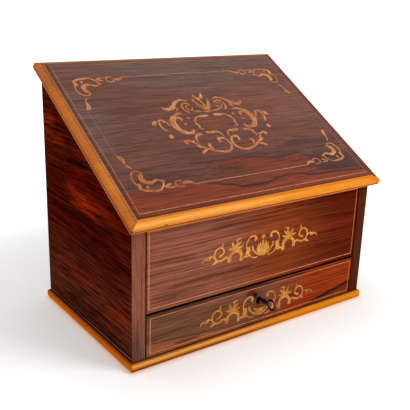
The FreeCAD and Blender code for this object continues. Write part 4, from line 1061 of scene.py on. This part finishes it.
def make_leather():
    """Dark red writing leather with a pebbled grain, rubbed in patches."""
    material, tree, shader = new_material("writing_leather", 0.5, 0.4)
    place = face_place(tree, "xyz")
    cells = add_node(tree, "TexVoronoi", {"Vector": place, "Scale": 900.0}).outputs["Distance"]
    rubbed = step_between(tree, noise(tree, place, 18.0, 4.0), 0.4, 0.7)
    base = blend(tree, rubbed, srgb(92, 22, 20), srgb(120, 44, 34))
    base = blend(tree, times(tree, cells, 0.5), base, srgb(60, 10, 12))
    tree.links.new(base, shader["Base Color"])
    tree.links.new(bump(tree, cells, 0.4, 0.0003), shader["Normal"])
    return material


PLAIN_LOOK = dict(contrast=0.3, streaks=0.5, swirl=0.5, specular=0.3, smooth=0.3, length=1.0, bands=3.0)
STREAK_SHADE = 0.3
PORE_STRENGTH = 0.15
PORE_DEPTH = 0.0001
RUBBED_MORE = 0.2
PALE_WOOD = (186, 134, 82)
CARCASE_WOOD = (104, 56, 36)


def finishes():
    """Every node's material."""
    lid = wood(
        "lid_rosewood", "xyz", LID_PLUM, lid_figure, True, 3.1,
        length=2.0, bands=1.6, streaks=0.4, specular=0.1, swirl=0.8, contrast=0.34,
    )
    fall = wood(
        "fall_rosewood", "xzy", FALL_BROWN, fall_figure, False, 1.7,
        length=3.0, bands=1.0, streaks=0.2, specular=0.0, swirl=0.3, contrast=0.42,
    )
    drawer = wood(
        "drawer_rosewood", "xzy", DRAWER_GREY, drawer_figure, False, 5.3,
        length=2.5, bands=1.0, streaks=0.25, specular=0.0, contrast=0.36,
    )
    stile = wood("stile_rosewood", "zxy", STILE_ASH, stile_figure, False, 0.9, specular=0.0, swirl=0.2)
    side = wood(
        "side_rosewood", "yzx", SIDE_NIGHT, side_figure, False, 2.3,
        length=1.8, bands=1.0, streaks=0.3, specular=0.0, contrast=0.8,
    )
    edge = {"contrast": 0.1, "streaks": 0.2, "swirl": 0.2, "specular": 0.1, "smooth": 0.3}
    lid_edge = wood("lid_edge", "xyz", EDGE_GOLD, lid_edge_figure, True, 4.1, **{**edge, "specular": 0.06})
    base_edge = wood("base_edge", "xyz", EDGE_GOLD, base_edge_figure, False, 2.9, **{**edge, "specular": 0.0})
    carcase = wood("carcase_wood", "xzy", CARCASE_WOOD, seed=1.3, specular=0.2, smooth=0.5)
    pale = wood("drawer_wood", "xzy", PALE_WOOD, seed=3.7, contrast=0.2, streaks=0.2, specular=0.2, smooth=0.5)
    brass = make_metal("hinge_brass", (196, 154, 84), (128, 92, 46), 0.3)
    steel = make_metal("key_steel", (70, 52, 44), (28, 16, 12), 0.45)
    leather = make_leather()
    starts = (
        ("lid_veneer", lid),
        ("lid_front_rail", fall),
        ("fall_panel", fall),
        ("fall_leather", leather),
        ("fall_pivot", brass),
        ("drawer_front", drawer),
        ("drawer_", pale),
        ("front_stile", stile),
        ("side_board", side),
        ("lid_moulding", lid_edge),
        ("base_moulding", base_edge),
        ("rack_", pale),
        ("lid_hinge", brass),
        ("pivot_screws", brass),
        ("lock_", brass),
        ("key", steel),
        ("", carcase),
    )
    for name, item in NODES.items():
        finish = next(material for start, material in starts if name.startswith(start))
        item.data.materials.clear()
        item.data.materials.append(finish)


# Stage


def make_stage():
    """Pale floor with a painted warm reflection of the case right beside it, and a white surround.

    The camera and mirrors see the surround as white; it lights softly.
    """
    mesh = bpy.data.meshes.new("floor")
    corners = [(-FLOOR_REACH, -FLOOR_REACH, 0), (FLOOR_REACH, -FLOOR_REACH, 0)]
    corners += [(FLOOR_REACH, FLOOR_REACH, 0), (-FLOOR_REACH, FLOOR_REACH, 0)]
    mesh.from_pydata(corners, [], [(0, 1, 2, 3)])
    floor = bpy.data.objects.new("floor", mesh)
    bpy.context.scene.collection.objects.link(floor)
    material, tree, shader = new_material("floor_paper", 0.8, 0.0)
    place = face_place(tree, "xyz")
    aside = less(tree, size_of(tree, part_of(tree, place, "x")), FOOT_X)
    ahead = less(tree, size_of(tree, part_of(tree, place, "y")), FOOT_Y)
    # painted reflection: right beside the case the paper is tinted warm and glows warm
    beside = step_between(tree, number(tree, "MAXIMUM", aside, ahead), *FLOOR_REFLECTION_REACH)
    paper = blend(tree, beside, FLOOR_WHITE, FLOOR_WARM_REFLECTION)
    tree.links.new(paper, shader["Base Color"])
    # away from the object the paper is plain white
    away = add_node(tree, "VectorMath", {0: place}, operation="LENGTH").outputs["Value"]
    tree.links.new(step_between(tree, away, *FLOOR_FADE, FLOOR_GLOW, 1.0), shader["Emission Strength"])
    tree.links.new(blend(tree, beside, (1, 1, 1, 1), FLOOR_WARM_REFLECTION), shader["Emission Color"])
    mesh.materials.append(material)

    world = bpy.data.worlds.new("surround")
    bpy.context.scene.world = world
    world.use_nodes = True
    tree = world.node_tree
    background = tree.nodes["Background"]
    background.inputs["Color"].default_value = (1, 1, 1, 1)
    path = add_node(tree, "LightPath").outputs
    seen = number(tree, "MAXIMUM", path["Is Camera Ray"], path["Is Glossy Ray"])
    seen = number(tree, "MAXIMUM", seen, path["Is Transmission Ray"])
    strength = add_node(tree, "MapRange", {"Value": seen, "To Min": SURROUND_LIGHT, "To Max": 1.0})
    tree.links.new(strength.outputs["Result"], background.inputs["Strength"])


FLOOR_REACH = 6.0
FLOOR_FADE = (0.2, 0.9)
FLOOR_GLOW = 0.25
FOOT_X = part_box("base_moulding_right")[1].x / MM
FOOT_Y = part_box("base_moulding_back")[1].y / MM
FLOOR_WHITE = (0.95, 0.95, 0.95, 1)
# warm of the painted reflection beside the case
FLOOR_WARM_REFLECTION = (0.92, 0.72, 0.54, 1)
FLOOR_REFLECTION_REACH = (8.0, -5.0)  # how far past the foot of the case, in millimetres
SURROUND_LIGHT = 0.4
LAMP_AIM = Vector((0, 0, 0.15))
LAMPS = (
    # name, place, side, watts
    ("key_lamp", (0.9, -1.3, 1.6), 0.9, 21.0),
    ("top_lamp", (-0.2, 0.3, 2.0), 1.2, 9.0),
)


def make_lamps():
    for name, place, side, watts in LAMPS:
        lamp = bpy.data.lights.new(name, "AREA")
        lamp.size = side
        lamp.energy = watts
        item = bpy.data.objects.new(name, lamp)
        item.location = place
        aim = LAMP_AIM - Vector(place)
        item.rotation_euler = aim.to_track_quat("-Z", "Y").to_euler()
        bpy.context.scene.collection.objects.link(item)


# Camera: where it stands round the object, and how it is held

CAMERA_AZIMUTH = math.radians(-36.128)
CAMERA_ELEVATION = math.radians(17.985)
CAMERA_ROLL = math.radians(1.8455)
CAMERA_DISTANCE = 882.02 * MM
CAMERA_TARGET = Vector((-6.5435, 0.0, 135.0424)) * MM
SENSOR_WIDTH = 36
FOCAL_PIXELS = 668.111
FRAME_PIXELS = 410
LENS = FOCAL_PIXELS / FRAME_PIXELS * SENSOR_WIDTH


def make_camera():
    azimuth, elevation = CAMERA_AZIMUTH, CAMERA_ELEVATION
    back = Vector(
        (
            math.sin(azimuth) * math.cos(elevation),
            -math.cos(azimuth) * math.cos(elevation),
            math.sin(elevation),
        )
    )
    right = (-back).cross(Vector((0, 0, 1))).normalized()
    up = right.cross(-back)
    level = Matrix((right, up, back)).transposed()
    camera = bpy.data.cameras.new("camera")
    camera.lens = LENS
    camera.sensor_width = SENSOR_WIDTH
    item = bpy.data.objects.new("camera", camera)
    turned = level @ Matrix.Rotation(CAMERA_ROLL, 3, "Z")
    item.matrix_world = Matrix.Translation(CAMERA_TARGET + back * CAMERA_DISTANCE) @ turned.to_4x4()
    bpy.context.scene.collection.objects.link(item)
    bpy.context.scene.camera = item


finishes()
make_marquetry(*(make_boxwood(*row) for row in BOXWOODS))
make_stage()
make_lamps()
make_camera()
bpy.context.scene.view_settings.view_transform = "Standard"
